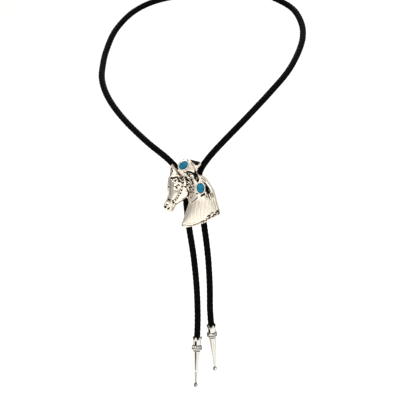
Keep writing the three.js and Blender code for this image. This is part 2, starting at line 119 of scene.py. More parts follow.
def braided_leather():
    """Black-dyed cowhide lace, rolled and waxed: a dull sheen on the crowns of the plait."""
    material, tree, shader, place = new_material("braided cowhide lace")
    grain_mm, patch_mm, pore_depth_mm = 0.35, 6, 0.05
    fine = {"Vector": place, "Scale": 1 / (grain_mm * MM), "Detail": 3, "Roughness": 0.6}
    grain = add_node(tree, "TexNoise", fine)
    patch = add_node(tree, "TexNoise", {"Vector": place, "Scale": 1 / (patch_mm * MM), "Detail": 2})
    dye = [(0.3, "#030303"), (0.55, "#060505"), (0.75, "#0b0a0a")]
    colour = add_node(tree, "ValToRGB", {"Fac": (patch, "Fac")}, stops=dye)
    rubbed = {"From Min": 0.3, "From Max": 0.7, "To Min": 0.5, "To Max": 0.72}
    wax = add_node(tree, "MapRange", {"Value": (grain, "Fac"), **rubbed})
    pores = {"Height": (grain, "Fac"), "Strength": 0.5, "Distance": pore_depth_mm * MM}
    look = {
        "Base Color": (colour, "Color"),
        "Roughness": (wax, "Result"),
        "Normal": (add_node(tree, "Bump", pores), "Normal"),
        "Specular IOR Level": 0.03,
    }
    set_inputs(tree, shader, look)
    return material


def antiqued_metal(name, bright, mid, dark, polish_roughness, grain_mm):
    """Metal darkened in its recesses and rubbed bright on its high parts, with a fine cast or rolled
    grain. The attribute named patina_and_shade says how dark each place is: mostly patina in the
    recesses, and painted shade in a few places."""
    material, tree, shader, place = new_material(name)
    pit_depth_mm = 0.04
    patina_and_shade = add_node(tree, "Attribute", settings={"attribute_name": "patina_and_shade"})
    fine = {"Vector": place, "Scale": 1 / (grain_mm * MM), "Detail": 4, "Roughness": 0.65}
    grain = add_node(tree, "TexNoise", fine)
    patchy = {"From Min": 0.3, "From Max": 0.7, "To Min": -0.09, "To Max": 0.09}
    uneven = add_node(tree, "MapRange", {"Value": (grain, "Fac"), **patchy})
    both = {0: (patina_and_shade, "Fac"), 1: (uneven, "Result")}
    depth = add_node(tree, "Math", both, {"operation": "ADD", "use_clamp": True})
    # Tones for the patina, also used for the painted shade
    darkening_stops = [(0.0, bright), (0.16, mid), (0.4, dark), (0.65, "#0d0b09")]
    colour = add_node(tree, "ValToRGB", {"Fac": (depth, "Value")}, stops=darkening_stops)
    wear = {"From Min": 0.0, "From Max": 0.5, "To Min": polish_roughness, "To Max": 0.75}
    rough = add_node(tree, "MapRange", {"Value": (depth, "Value"), **wear})
    cover = {"From Min": 0.2, "From Max": 0.55, "To Min": 1.0, "To Max": 0.15}
    bare_metal = add_node(tree, "MapRange", {"Value": (depth, "Value"), **cover})
    pits = {"Height": (grain, "Fac"), "Strength": 0.25, "Distance": pit_depth_mm * MM}
    look = {
        "Base Color": (colour, "Color"),
        "Roughness": (rough, "Result"),
        "Metallic": (bare_metal, "Result"),
        "Normal": (add_node(tree, "Bump", pits), "Normal"),
        "Specular Tint": linear("#a49e94"),
    }
    set_inputs(tree, shader, look)
    return material


def turquoise():
    """Stabilised turquoise, ground and polished: blue with greener clouds and a faint dark matrix."""
    material, tree, shader, place = new_material("polished turquoise")
    cloud_mm, vein_mm, vein_depth_mm = 3.2, 2.6, 0.02
    cloud = add_node(tree, "TexNoise", {"Vector": place, "Scale": 1 / (cloud_mm * MM), "Detail": 3})
    blues = [(0.3, "#045072"), (0.5, "#076785"), (0.7, "#0b7a96")]
    colour = add_node(tree, "ValToRGB", {"Fac": (cloud, "Fac")}, stops=blues)
    cells = {"Vector": place, "Scale": 1 / (vein_mm * MM), "Randomness": 1}
    vein = add_node(tree, "TexVoronoi", cells, {"feature": "DISTANCE_TO_EDGE"})
    faint = {"From Min": 0.0, "From Max": 0.035, "To Min": 0.25, "To Max": 0.0}
    in_vein = add_node(tree, "MapRange", {"Value": (vein, "Distance"), **faint})
    veining = {"Factor": (in_vein, "Result"), "A": (colour, "Color"), "B": linear("#0b4560")}
    veined = add_node(tree, "Mix", veining, {"data_type": "RGBA"})
    polish = {"From Min": 0.3, "From Max": 0.7, "To Min": 0.16, "To Max": 0.3}
    rough = add_node(tree, "MapRange", {"Value": (cloud, "Fac"), **polish})
    sunk = {"Height": (vein, "Distance"), "Strength": 0.15, "Distance": vein_depth_mm * MM}
    look = {
        "Base Color": (veined, "Result"),
        "Roughness": (rough, "Result"),
        "Normal": (add_node(tree, "Bump", sunk), "Normal"),
        "IOR": 1.61,
        "Specular IOR Level": 0.14,
    }
    set_inputs(tree, shader, look)
    return material


def studio_paper():
    """Matt white background paper, calendered: a plain ground with a faint cloud of fibre."""
    material, tree, shader, place = new_material("matt background paper")
    fibre_mm = 25
    fibre = add_node(tree, "TexNoise", {"Vector": place, "Scale": 1 / (fibre_mm * MM), "Detail": 2})
    whites = [(0.3, "#f6f6f4"), (0.7, "#fbfbf9")]
    colour = add_node(tree, "ValToRGB", {"Fac": (fibre, "Fac")}, stops=whites)
    set_inputs(tree, shader, {"Base Color": (colour, "Color"), "Roughness": 1, "Specular IOR Level": 0})
    return material


# Making pieces
PER_SPAN = 6  # steps of a smooth curve between two of its points
SAME_PLACE_MM = 1e-4


def to_mesh(name, bm):
    mesh = bpy.data.meshes.new(name)
    bm.to_mesh(mesh)
    bm.free()
    return mesh


def new_object(name, form, material):
    """An object of that bmesh or mesh."""
    mesh = to_mesh(name, form) if isinstance(form, bmesh.types.BMesh) else form
    made = bpy.data.objects.new(name, mesh)
    bpy.context.collection.objects.link(made)
    mesh.shade_smooth()
    mesh.materials.clear()
    mesh.materials.append(material)
    return made


def new_piece(name, form, material, slot, *nodes):
    """A piece on the tie's body, in place of those CAD nodes."""
    piece = new_object(name, form, material)
    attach(piece, "root")
    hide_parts(*nodes)
    return piece


def smooth_route(points, per_span=PER_SPAN):
    """A centripetal Catmull-Rom curve through the points, as an array of places."""
    pts = np.array(points, float)
    padded = np.vstack([2 * pts[0] - pts[1], pts, 2 * pts[-1] - pts[-2]])
    t = np.linspace(0, 1, per_span, endpoint=False)[:, None]
    rows = []
    for p0, p1, p2, p3 in zip(padded, padded[1:], padded[2:], padded[3:]):
        d0, d1, d2 = (np.linalg.norm(b - a) ** 0.5 for a, b in ((p0, p1), (p1, p2), (p2, p3)))
        m1 = d1 * ((p1 - p0) / d0 - (p2 - p0) / (d0 + d1) + (p2 - p1) / d1)
        m2 = d1 * ((p2 - p1) / d1 - (p3 - p1) / (d1 + d2) + (p3 - p2) / d2)
        cubic = 2 * (p1 - p2) + m1 + m2
        square = 3 * (p2 - p1) - 2 * m1 - m2
        rows.append(p1 + m1 * t + square * t**2 + cubic * t**3)
    return np.vstack(rows + [pts[-1:]])


def spin_profile(profile, steps):
    """A closed turned form from its (radius, height) rows."""
    bm = bmesh.new()
    verts = [bm.verts.new((r, 0, z)) for r, z in profile]
    edges = [bm.edges.new(pair) for pair in zip(verts, verts[1:])]
    bmesh.ops.spin(
        bm, geom=verts + edges, cent=(0, 0, 0), axis=(0, 0, 1), angle=TURN, steps=steps, use_merge=True
    )
    bmesh.ops.remove_doubles(bm, verts=bm.verts, dist=SAME_PLACE_MM)
    bmesh.ops.recalc_face_normals(bm, faces=bm.faces)
    return bm


def drawn_sheet(points, run):
    """A sheet drawn out from a line of points by that vector."""
    bm = bmesh.new()
    verts = [bm.verts.new(p) for p in points]
    edges = [bm.edges.new(pair) for pair in zip(verts, verts[1:])]
    made = bmesh.ops.extrude_edge_only(bm, edges=edges)
    moved = [g for g in made["geom"] if isinstance(g, bmesh.types.BMVert)]
    bmesh.ops.translate(bm, verts=moved, vec=run)
    bmesh.ops.recalc_face_normals(bm, faces=bm.faces)
    return bm


# Cord
CORD_DIAMETER = 4.5 * MM
CORD_ROUTE = [  # from inside the left tip, round the neck, to inside the right tip
    (-0.0057, -0.1565, -0.285), (-0.0048, -0.1565, -0.276), (-0.0033, -0.1565, -0.26),
    (-0.0025, -0.1562, -0.236), (-0.0035, -0.1548, -0.211), (-0.0058, -0.1532, -0.187),
    (-0.0065, -0.1532, -0.168), (-0.0065, -0.1532, -0.1555), (-0.0072, -0.1532, -0.1505),
    (-0.0096, -0.1534, -0.146), (-0.0172, -0.153, -0.1361), (-0.036, -0.145, -0.1205),
    (-0.058, -0.127, -0.101), (-0.0735, -0.1065, -0.0837), (-0.081, -0.0895, -0.07),
    (-0.0835, -0.071, -0.0575), (-0.083, -0.054, -0.0445), (-0.0775, -0.035, -0.0275),
    (-0.064, -0.018, -0.0125), (-0.044, -0.006, -0.0038), (0, 0.00225, 0), (0.044, -0.006, -0.0038),
    (0.0635, -0.0165, -0.012), (0.077, -0.0275, -0.0215), (0.0845, -0.044, -0.0345),
    (0.086, -0.06, -0.046), (0.083, -0.077, -0.058), (0.075, -0.1, -0.0735), (0.0605, -0.122, -0.09),
    (0.045, -0.137, -0.1055), (0.0132, -0.153, -0.136), (0.0063, -0.1534, -0.1454),
    (0.0044, -0.1532, -0.1535), (0.0044, -0.1532, -0.168), (0.0063, -0.1534, -0.187),
    (0.008, -0.155, -0.212), (0.008, -0.1563, -0.236), (0.0071, -0.1572, -0.254),
    (0.00685, -0.15555, -0.26635), (0.00665, -0.1534, -0.2753),
]
CORD_STEPS_A_SPAN = 24
LINE_STEP = 1.0 * MM
STRANDS_EACH_WAY = 2
PLAIT_PITCH = 7.4 * MM  # one turn of a strand
LACE_WIDTH = 3.5 * MM
LACE_THICKNESS = 1.3 * MM
LACE_MIDDLE = 1.83 * MM  # how far a lace's middle lies from the cord's
LACE_SQUARENESS = 0.8
LACE_STEPS_A_TURN = 18
WEAVE_DEPTH = 0.28 * MM
CORE_RADIUS = 1.7 * MM
CORE_STEP = 2.2 * MM
TUBE_SIDES = 8
SAME_PLACE = 1e-7


class Line:
    """A curve in space measured by its length, with directions that don't twist along it."""

    def __init__(self, points):
        steps = np.linalg.norm(np.diff(points, axis=0), axis=1)
        measured = np.concatenate([[0], np.cumsum(steps)])
        self.length = measured[-1]
        self.at = np.linspace(0, self.length, int(self.length / LINE_STEP) + 1)
        self.places = np.column_stack([np.interp(self.at, measured, points[:, k]) for k in range(3)])
        ahead = np.gradient(self.places, axis=0)
        self.ahead = ahead / np.linalg.norm(ahead, axis=1)[:, None]
        self.side = np.zeros_like(self.ahead)
        current = np.array([1.0, 0, 0])
        for i, direction in enumerate(self.ahead):
            current = current - direction * current.dot(direction)
            current = current / np.linalg.norm(current)
            self.side[i] = current

    def around(self, along, angle, radius):
        """Places at that length along the line, that angle round it and that far from it."""
        ahead, side, place = (
            np.column_stack([np.interp(along, self.at, rows[:, k]) for k in range(3)])
            for rows in (self.ahead, self.side, self.places)
        )
        beyond = along - np.clip(along, 0, self.length)
        ahead /= np.linalg.norm(ahead, axis=1)[:, None]
        side -= ahead * np.sum(side * ahead, axis=1)[:, None]
        side /= np.linalg.norm(side, axis=1)[:, None]
        other = np.cross(ahead, side)
        out = side * np.cos(angle)[:, None] + other * np.sin(angle)[:, None]
        return place + ahead * beyond[:, None] + out * radius[:, None]


def swept_tube(rings, place_of):
    """A closed tube, whose function gives the places of its grid's rows and columns."""
    bm = bmesh.new()
    bmesh.ops.create_grid(bm, x_segments=TUBE_SIDES, y_segments=rings - 1, size=1)
    row, column = np.divmod(np.arange(len(bm.verts)), TUBE_SIDES + 1)
    for vertex, place in zip(bm.verts, place_of(row / (rings - 1), TURN * column / TUBE_SIDES)):
        vertex.co = place
    bmesh.ops.remove_doubles(bm, verts=bm.verts, dist=SAME_PLACE)
    bmesh.ops.holes_fill(bm, edges=[e for e in bm.edges if e.is_boundary], sides=TUBE_SIDES + 1)
    bmesh.ops.recalc_face_normals(bm, faces=bm.faces)
    return bm


def make_strand(line, sense, index):
    """One lace of the plait: a flat section carried along a helix, over and under its neighbours."""
    slope = math.atan2(TURN * LACE_MIDDLE, PLAIT_PITCH)
    start = index * TURN / STRANDS_EACH_WAY + TURN / 8

    def place_of(share, section):
        helix = share * line.length
        across = LACE_WIDTH / 2 * np.sign(np.cos(section)) * np.abs(np.cos(section)) ** LACE_SQUARENESS
        turn = sense * TURN * helix / PLAIT_PITCH
        angle = start + turn + sense * math.cos(slope) * across / LACE_MIDDLE
        weave = sense * WEAVE_DEPTH * np.cos(STRANDS_EACH_WAY * turn)
        radius = LACE_MIDDLE + weave + LACE_THICKNESS / 2 * np.sin(section)
        return line.around(helix - math.sin(slope) * across, angle, radius)

    return swept_tube(int(line.length / PLAIT_PITCH * LACE_STEPS_A_TURN), place_of)


def make_core(line):
    """The round lacing that the plait is worked over."""
    return swept_tube(
        int(line.length / CORE_STEP),
        lambda share, section: line.around(share * line.length, section, np.full(len(share), CORE_RADIUS)),
    )


def make_cord(line):
    whole = bmesh.new()
    parts = [make_core(line)]
    for sense in (-1, 1):
        parts += [make_strand(line, sense, index) for index in range(STRANDS_EACH_WAY)]
    for part in parts:
        part_mesh = to_mesh("strand", part)
        whole.from_mesh(part_mesh)
        bpy.data.meshes.remove(part_mesh)
    return new_piece("braided_cord", whole, braided_leather(), "braided_leather", "bolo_cord")


# Cord tips, along +z from the crown's mouth, in mm
TIP_PROFILE = [  # (along the tip, radius)
    (0, 3.5), (0.8, 3.35), (2.5, 3.25), (4.9, 3.2), (6.8, 3.3), (7.2, 3.7), (7.6, 4.15), (8.1, 4.35),
    (8.6, 4.2), (8.9, 3.9), (9.2, 4.2), (9.7, 4.35), (10.3, 4.05), (10.7, 3.4), (11.0, 2.95),
    (11.6, 2.85), (19, 2.25), (27, 1.6), (33.5, 1.15), (36.8, 0.95), (37.6, 1.0),
]
TIP_LENGTH = 41.2
TIP_STEPS = 120
TIP_ROW_STEP = 0.3
BALL_RADIUS = 1.8
BALL_MIDDLE = TIP_LENGTH - BALL_RADIUS
BALL_ROWS = 14
CORD_IN_TIP = 8.9
SOCKET_RADIUS = 2.8
SOCKET_DEPTH = 9.2
SOCKET_ROWS = 7
SOCKET_FLAT_END = 1.5  # the wall's first row over the socket's floor
SOCKET_SLACK = 0.05
LIP_ROUND = 0.12
PETALS = 6
PETAL_END = 2.9  # how far the points and flare reach
PETAL_NOTCH = 2.2
PETAL_POINTEDNESS = 1.2
PETAL_FLARE = 0.5
PETAL_DARK = 0.5
SLOT_START = 3.0
SLOT_END = 6.6
SLOT_HALF_WIDTH = 0.55
SLOT_BEVEL = 1.3  # the slot's whole width over its deep part's
SLOT_DEPTH = 0.5
BARREL_FOOT_DARK = 0.35
COLLAR_START = 7.1
COLLAR_VALLEY = 8.9
COLLAR_END = 10.8
COLLAR_LOBES = 12
COLLAR_LOBE_DEPTH = 0.22
VALLEY_HALF_WIDTH = 0.45
VALLEY_DARK = 0.48
LOBE_DARK = 0.3
FACETS = 8
FACETS_START = 11.2
FACETS_END = BALL_MIDDLE - 1.2
# Painted shade darkens each facet of the cone towards its edges
FACET_EDGE = 0.42  # of a half facet's 0.5, where its darker edge starts
FACET_EDGE_SHADE = 0.24
CONE_TOP_END = FACETS_START + 0.3
CONE_TOP_DARK = 0.4
SEAM_START = 12.0
SEAM_END = 26.5
SEAM_HALF_WIDTH = (0.62, 0.3)  # at its two ends
SEAM_DEPTH = 0.25
SEAM_BORDER = 1.4
SEAM_FADE = 0.3
SEAM_EDGE_STEEPNESS = 3
SPECKS_START = 28.5
SPECKS_HALF_WIDTH = 0.8
SPECKS_DARK = 1.2
SPECKS_DEPTH = 0.08
SPECKS_ALONG = 4.1  # radians a mm
SPECKS_ACROSS = 5
SPECKS_SLANT = 1.7
NECK_START = BALL_MIDDLE - 2.3
NECK_RADIUS = 1.2
NECK_DARK = 0.45
# Painted shade on the front of each ball, on its half next to the cone
BALL_SHADE_AT = 0.35  # turned off the front, in radians
BALL_SHADE_WIDTH = 0.3
BALL_SHADE_END = BALL_MIDDLE + 0.9
BALL_SHADE_DARK = 0.55
LEFT_TIP_TURN_DEG = 10
RIGHT_TIP_TURN_DEG = 27
LEFT_SEAM = 1.0  # how open each tip's seam is
RIGHT_SEAM = 0.2


def dense_profile(points):
    """Even rows along a smooth profile of (along, radius) points."""
    curve = smooth_route([(z, r, 0) for z, r in points])
    lengths = np.concatenate([[0], np.cumsum(np.linalg.norm(np.diff(curve, axis=0), axis=1))])
    at = np.linspace(0, lengths[-1], int(lengths[-1] / TIP_ROW_STEP) + 1)
    return [(np.interp(a, lengths, curve[:, 0]), np.interp(a, lengths, curve[:, 1])) for a in at]


def tip_rows():
    """The tip's turned section: socket, mouth, outside and ball, as (along, radius) rows."""
    rows = [(SOCKET_DEPTH, 0), (SOCKET_DEPTH, SOCKET_RADIUS)]
    rows += [(z, SOCKET_RADIUS) for z in np.linspace(SOCKET_DEPTH - SOCKET_FLAT_END, 0, SOCKET_ROWS)]
    rows += [(-LIP_ROUND, (SOCKET_RADIUS + TIP_PROFILE[0][1]) / 2)]
    rows += dense_profile(TIP_PROFILE)
    neck = math.asin(TIP_PROFILE[-1][1] / BALL_RADIUS)
    for a in np.linspace(math.pi - neck, 0, BALL_ROWS)[1:]:
        rows.append((BALL_MIDDLE + BALL_RADIUS * math.cos(a), BALL_RADIUS * math.sin(a)))
    return rows


def worked_mouth(z, r, off_petal, in_socket):
    """The crown: petals with notches between them, flared outwards."""
    fade = 1 - max(z, 0) / PETAL_END
    z += PETAL_NOTCH * off_petal**PETAL_POINTEDNESS * fade
    if in_socket:
        return z, r, 1.0
    return z, r + PETAL_FLARE * (1 - off_petal) * fade**2, PETAL_DARK * off_petal * fade


def worked_barrel(z, r, petal, off_petal):
    """The barrel, with a slot under every other petal."""
    sideways = off_petal * math.pi / PETALS * r
    if petal % 2 == 0 and SLOT_START < z < SLOT_END and sideways < SLOT_HALF_WIDTH * SLOT_BEVEL:
        return z, r - (SLOT_DEPTH if sideways < SLOT_HALF_WIDTH else SLOT_DEPTH / 3), 1.0
    return z, r, BARREL_FOOT_DARK if z > SLOT_END else 0.0


def worked_collar(z, r, angle):
    """Two rows of lobes, one set between the other."""
    lobe = math.cos(COLLAR_LOBES * angle + (math.pi if z > COLLAR_VALLEY else 0))
    valley = max(0.0, 1 - abs(z - COLLAR_VALLEY) / VALLEY_HALF_WIDTH)
    dark = max(VALLEY_DARK * valley, LOBE_DARK * max(0, -lobe) ** 2)
    return z, r + COLLAR_LOBE_DEPTH * (lobe - 1) / 2, dark


def worked_cone(z, r, angle, dark, seam):
    """The faceted cone, with the seam down its front, the specks under it, and painted shade along its
    facet edges.
    """
    facet = (angle * FACETS / TURN) % 1 - 0.5
    r *= math.cos(math.pi / FACETS) / math.cos(facet * TURN / FACETS)
    # Painted shade along each facet's edges
    dark = max(dark, FACET_EDGE_SHADE * max(0.0, (abs(facet) - FACET_EDGE) / (0.5 - FACET_EDGE)))
    along = (z - SEAM_START) / (SEAM_END - SEAM_START)
    half_width = SEAM_HALF_WIDTH[0] + (SEAM_HALF_WIDTH[1] - SEAM_HALF_WIDTH[0]) * along
    gap = abs(angle) * r
    if 0 < along < 1 and gap < half_width * SEAM_BORDER:
        depth = max(0.0, 1 - (gap / half_width) ** 2)
        shade = seam * (1 - SEAM_FADE * along) * min(1, depth * SEAM_EDGE_STEEPNESS)
        return r - SEAM_DEPTH * seam * depth, max(dark, shade)
    if z > SPECKS_START and gap < SPECKS_HALF_WIDTH:
        across = math.cos(angle * r * SPECKS_ACROSS + z * SPECKS_SLANT)
        speck = max(0.0, math.sin(z * SPECKS_ALONG) * across)
        return r - SPECKS_DEPTH * speck, max(dark, SPECKS_DARK * seam * speck)
    return r, dark


def shaped_tip(z, r, angle, seam):
    """Where a place of the turned tip goes once it is worked, and how dark it is: patina in its
    recesses, and painted shade along its facet edges and on the front of its ball.
    """
    in_socket = r < SOCKET_RADIUS + SOCKET_SLACK and z < SOCKET_DEPTH + 2 * SOCKET_SLACK
    petal = angle * PETALS / TURN
    off_petal = 2 * abs(petal - round(petal))
    if z < PETAL_END:
        return worked_mouth(z, r, off_petal, in_socket)
    if in_socket:
        return z, r, 1.0
    if z < COLLAR_START:
        return worked_barrel(z, r, round(petal), off_petal)
    if z < COLLAR_END:
        return worked_collar(z, r, angle)
    dark = CONE_TOP_DARK if z < CONE_TOP_END else 0.0
    if FACETS_START < z < FACETS_END:
        r, dark = worked_cone(z, r, angle, dark, seam)
    if NECK_START < z < BALL_MIDDLE and r < NECK_RADIUS:
        dark = NECK_DARK
    # Painted shade on the front of the ball, on its half next to the cone
    if FACETS_END < z < BALL_SHADE_END:
        ball_shade = max(0.0, 1 - abs(abs(angle) - BALL_SHADE_AT) / BALL_SHADE_WIDTH)
        dark = max(dark, BALL_SHADE_DARK * ball_shade)
    return z, r, dark


def make_tip(name, node, place, outwards, turn_deg, seam, material):
    """A cord tip that points outwards from that place, its first petal turned from the front."""
    bm = spin_profile([(r, z) for z, r in tip_rows()], TIP_STEPS)
    patina_and_shade = bm.verts.layers.float.new("patina_and_shade")
    for v in bm.verts:
        angle = math.atan2(v.co.y, v.co.x)
        z, r, v[patina_and_shade] = shaped_tip(v.co.z, math.hypot(v.co.x, v.co.y), angle, seam)
        v.co = (r * math.cos(angle), r * math.sin(angle), z)
    along = Vector(outwards).normalized()
    front = (Vector((0, -1, 0)) + along * along.y).normalized()
    matrix = (
        Matrix.Translation(place)
        @ Matrix((front, along.cross(front), along)).transposed().to_4x4()
        @ Matrix.Rotation(math.radians(turn_deg), 4, "Z")
        @ Matrix.Scale(MM, 4)
        @ Matrix.Translation((0, 0, -CORD_IN_TIP))
    )
    bmesh.ops.transform(bm, verts=bm.verts, matrix=matrix)
    return new_piece(name, bm, material, "polished_silver", node)


# Slide, in its own plane: x to the right, y up, z out of the front, in mm
SLIDE_WIDTH = 44.5
SLIDE_HEIGHT = 54.5
SLIDE_MIDDLE = (-0.0008, -0.15695, -0.162)  # in m, on the tie
SLIDE_TURN_DEG = 4
SLIDE_PLACE = (
    Matrix.Translation(SLIDE_MIDDLE)
    @ Matrix.Rotation(math.radians(SLIDE_TURN_DEG), 4, "Y")
    @ Matrix.Rotation(math.radians(90), 4, "X")
    @ Matrix.Scale(MM, 4)
)
BLANK_THICKNESS = 1.2
PLATE_STEPS_A_SPAN = 5
PLATE_RISE = 1.8
DOME_CELL = 0.4
DOME_MARGIN_CELLS = 3
DOME_ROUNDS = 2500
JUST_INSIDE = 1.001  # keeps the last cell's far corner on the grid
BLANK_VOXEL = 0.26
CAST_VOXEL = 0.22
SOFTEN_ROUNDS = 5
SOFTEN_SHARE = 0.85
LEVEL_ROUNDS = 60
BACK_LEVEL = 0.9  # what lies lower is the back or the edge
FRONT_SLOPE = 1.6  # how soon the relief fades where the front turns away
HOLLOW_DARK_FROM = 0.25  # how far under its surroundings a place starts to be dark
HOLLOW_DARK_RATE = 0.55
HOLLOW_DARK_MOST = 0.6
HOLLOW_FLOOR = 2.4
HOLLOW_WALL_TOP = 3.6
HOLLOW_FLOOR_DARK = 0.95
HOLLOW_EDGE = 0.3

# Outlines, in thousandths of the slide's width and height
PLATE_OUTLINE = [
    (154, 917), (124, 875), (124, 810), (120, 752), (84, 720), (77, 654), (67, 583), (74, 497), (70, 448),
    (51, 400), (21, 358), (2, 316), (25, 274), (79, 239), (135, 218), (173, 241), (196, 287), (231, 332),
    (298, 365), (354, 397), (412, 435), (429, 420), (440, 365), (412, 280), (373, 187), (335, 93),
    (312, 40), (350, 9), (420, 3), (487, 17), (581, 37), (715, 72), (809, 116), (942, 167), (998, 207),
    (991, 256), (956, 358), (926, 460), (898, 540), (851, 606), (797, 675), (732, 736), (676, 764),
    (632, 779), (578, 819), (595, 853), (648, 892), (671, 930), (644, 951), (553, 968), (475, 985),
    (431, 988), (382, 993), (329, 974), (278, 941), (259, 886), (268, 829), (221, 853), (189, 888),
]
FORMS = {  # name: (rise in mm, share of the rise at its edge, outline)
    "neck": (5.8, 0.45, [
        (413, 718), (420, 575), (438, 445), (445, 359), (417, 273), (377, 172), (336, 40), (431, 26),
        (553, 55), (694, 95), (834, 149), (974, 221), (942, 287), (904, 388), (869, 503), (816, 596),
        (746, 678), (667, 740), (580, 776), (483, 767),
    ]),
    "crest": (5.2, 0.6, [
        (613, 784), (592, 747), (673, 704), (739, 649), (797, 586), (846, 517), (879, 440), (911, 345),
        (946, 256), (988, 264), (956, 358), (926, 460), (898, 540), (851, 606), (793, 675), (718, 741),
    ]),
    "far_cheek": (3.6, 0.6, [
        (86, 715), (77, 654), (69, 583), (76, 497), (100, 460), (125, 520), (125, 720),
    ]),
    "face": (6.9, 0.42, [
        (123, 739), (116, 690), (114, 618), (110, 517), (95, 451), (63, 402), (28, 356), (9, 316),
        (28, 279), (81, 244), (135, 224), (168, 246), (193, 287), (224, 338), (291, 371), (350, 402),
        (405, 440), (436, 489), (448, 575), (431, 675), (361, 736), (273, 761), (186, 753),
    ]),
    "leaf": (4.8, 0.5, [
        (441, 957), (420, 899), (399, 839), (424, 799), (492, 784), (553, 795), (571, 836), (541, 888),
        (497, 934),
    ]),
    "ear": (5.8, 0.5, [
        (154, 914), (131, 876), (126, 813), (128, 728), (203, 715), (266, 756), (235, 825), (193, 879),
    ]),
}
ROUND_FORMS = [  # (centre, radius in mm, rise in mm, share of the rise at its edge)
    ((325, 530), 5.7, 7.4, 0.74),
    ((95, 310), 3.9, 6.6, 0.6),
    ((235, 600), 1.9, 7.75, 0.85),
]
HOLLOWS = [  # sunk into the neck
    [(550, 790), (545, 745), (585, 690), (620, 665), (640, 690), (600, 735), (590, 780)],
    [(720, 660), (745, 585), (775, 510), (820, 500), (825, 530), (780, 600)],
]

# Stones: centre in thousandths, length and width in mm, turn in degrees, the cup's floor in mm
STONES = {
    "turquoise_upper": ((362, 902), 7.6, 5.4, 42, 2.6),
    "turquoise_lower": ((671, 584), 8.0, 5.6, 94, 4.8),
}
SEAT_GAP = 0.3
STONE_STEPS = 72
STONE_FOOT = 0.93  # of its half width
STONE_FOOT_RISE = 0.08
STONE_GIRDLE = 1.0
STONE_DOME = 1.5
STONE_DOME_STEPS = 12
CUP_STEPS = 64
BEZEL_STEPS = 96
BEZEL_WALL = 0.75
BEZEL_INNER_GAP = 0.12
BEZEL_OUTSIDE = [  # (off its outer wall, height)
    (0.1, -0.6), (0.1, 0.2), (0, 0.7425), (-0.16, 1.1475), (-0.4, 1.35),
]
BEZEL_INSIDE = [(0.05, 1.3095), (-0.12, 1.08), (0, 0.81), (0, -0.6)]  # (off its inner wall, height)
BEZEL_FOOT_TOP = 0.15
BEZEL_FOOT_DARK = 0.5
BEZEL_LIP_REACH = 0.08
BEZEL_LIP_DARK = 0.12


def on_slide(place):
    """A place given in thousandths, in mm from the slide's middle."""
    return np.array([(place[0] / 1000 - 0.5) * SLIDE_WIDTH, (place[1] / 1000 - 0.5) * SLIDE_HEIGHT])


def open_line(places):
    """A smooth line through the places, in mm on the slide."""
    return smooth_route([(*on_slide(p), 0) for p in places])[:, :2]


def closed_outline(places, per_span=PER_SPAN):
    """A smooth closed outline through the places, in mm on the slide."""
    pts = [(*on_slide(p), 0) for p in places]
    curve = smooth_route(pts[-2:] + pts + pts[:2], per_span)
    return curve[2 * per_span : (len(pts) + 2) * per_span, :2]


def nearest(points, line):
    """For each point, its distance to a line of points and how far along the line its foot is."""
    best = np.full(len(points), np.inf)
    share = np.zeros(len(points))
    for i, (a, b) in enumerate(zip(line, line[1:])):
        run = b - a
        t = np.clip((points - a) @ run / (run @ run), 0, 1)
        gap = np.linalg.norm(points - a - t[:, None] * run, axis=1)
        closer = gap < best
        best[closer] = gap[closer]
        share[closer] = (i + t[closer]) / (len(line) - 1)
    return best, share


def inside(points, outline):
    """Which points lie inside a closed outline."""
    x, y = points[:, 0], points[:, 1]
    within = np.zeros(len(points), bool)
    for (x0, y0), (x1, y1) in zip(outline, np.roll(outline, -1, axis=0)):
        if y0 != y1:
            crosses = (y0 > y) != (y1 > y)
            within ^= crosses & (x < (x1 - x0) * (y - y0) / (y1 - y0) + x0)
    return within


def dome(points, outline, rise, edge_share):
    """Height of a domed form, blown up like a cushion between its outline and a flat back."""
    low = outline.min(axis=0) - DOME_CELL
    columns, rows = ((outline.max(axis=0) - low) / DOME_CELL).astype(int) + DOME_MARGIN_CELLS
    across, up = np.meshgrid(np.arange(columns), np.arange(rows), indexing="ij")
    grid = np.column_stack([across.ravel(), up.ravel()]) * DOME_CELL + low
    mask = inside(grid, outline).reshape(columns, rows)
    film = np.zeros((columns, rows))
    for _ in range(DOME_ROUNDS):
        around = film[2:, 1:-1] + film[:-2, 1:-1] + film[1:-1, 2:] + film[1:-1, :-2]
        film[1:-1, 1:-1] = 0.25 * (around + 1)
        film *= mask
    film = np.sqrt(film / film.max())
    place = np.clip((points - low) / DOME_CELL, 0, [columns - JUST_INSIDE, rows - JUST_INSIDE])
    i, j = place.astype(int).T
    s, t = (place - place.astype(int)).T
    blown = (
        film[i, j] * (1 - s) * (1 - t)
        + film[i + 1, j] * s * (1 - t)
        + film[i, j + 1] * (1 - s) * t
        + film[i + 1, j + 1] * s * t
    )
    height = rise * (edge_share + (1 - edge_share) * blown)
    return np.where(inside(points, outline), height, 0)


def oval(centre, half_length, half_width, turn_deg):
    """An oval's outline, turned about its centre."""
    a = np.linspace(0, TURN, CUP_STEPS, endpoint=False)
    x, y = half_length * np.cos(a), half_width * np.sin(a)
    cos, sin = math.cos(math.radians(turn_deg)), math.sin(math.radians(turn_deg))
    return np.column_stack([x * cos - y * sin, x * sin + y * cos]) + centre


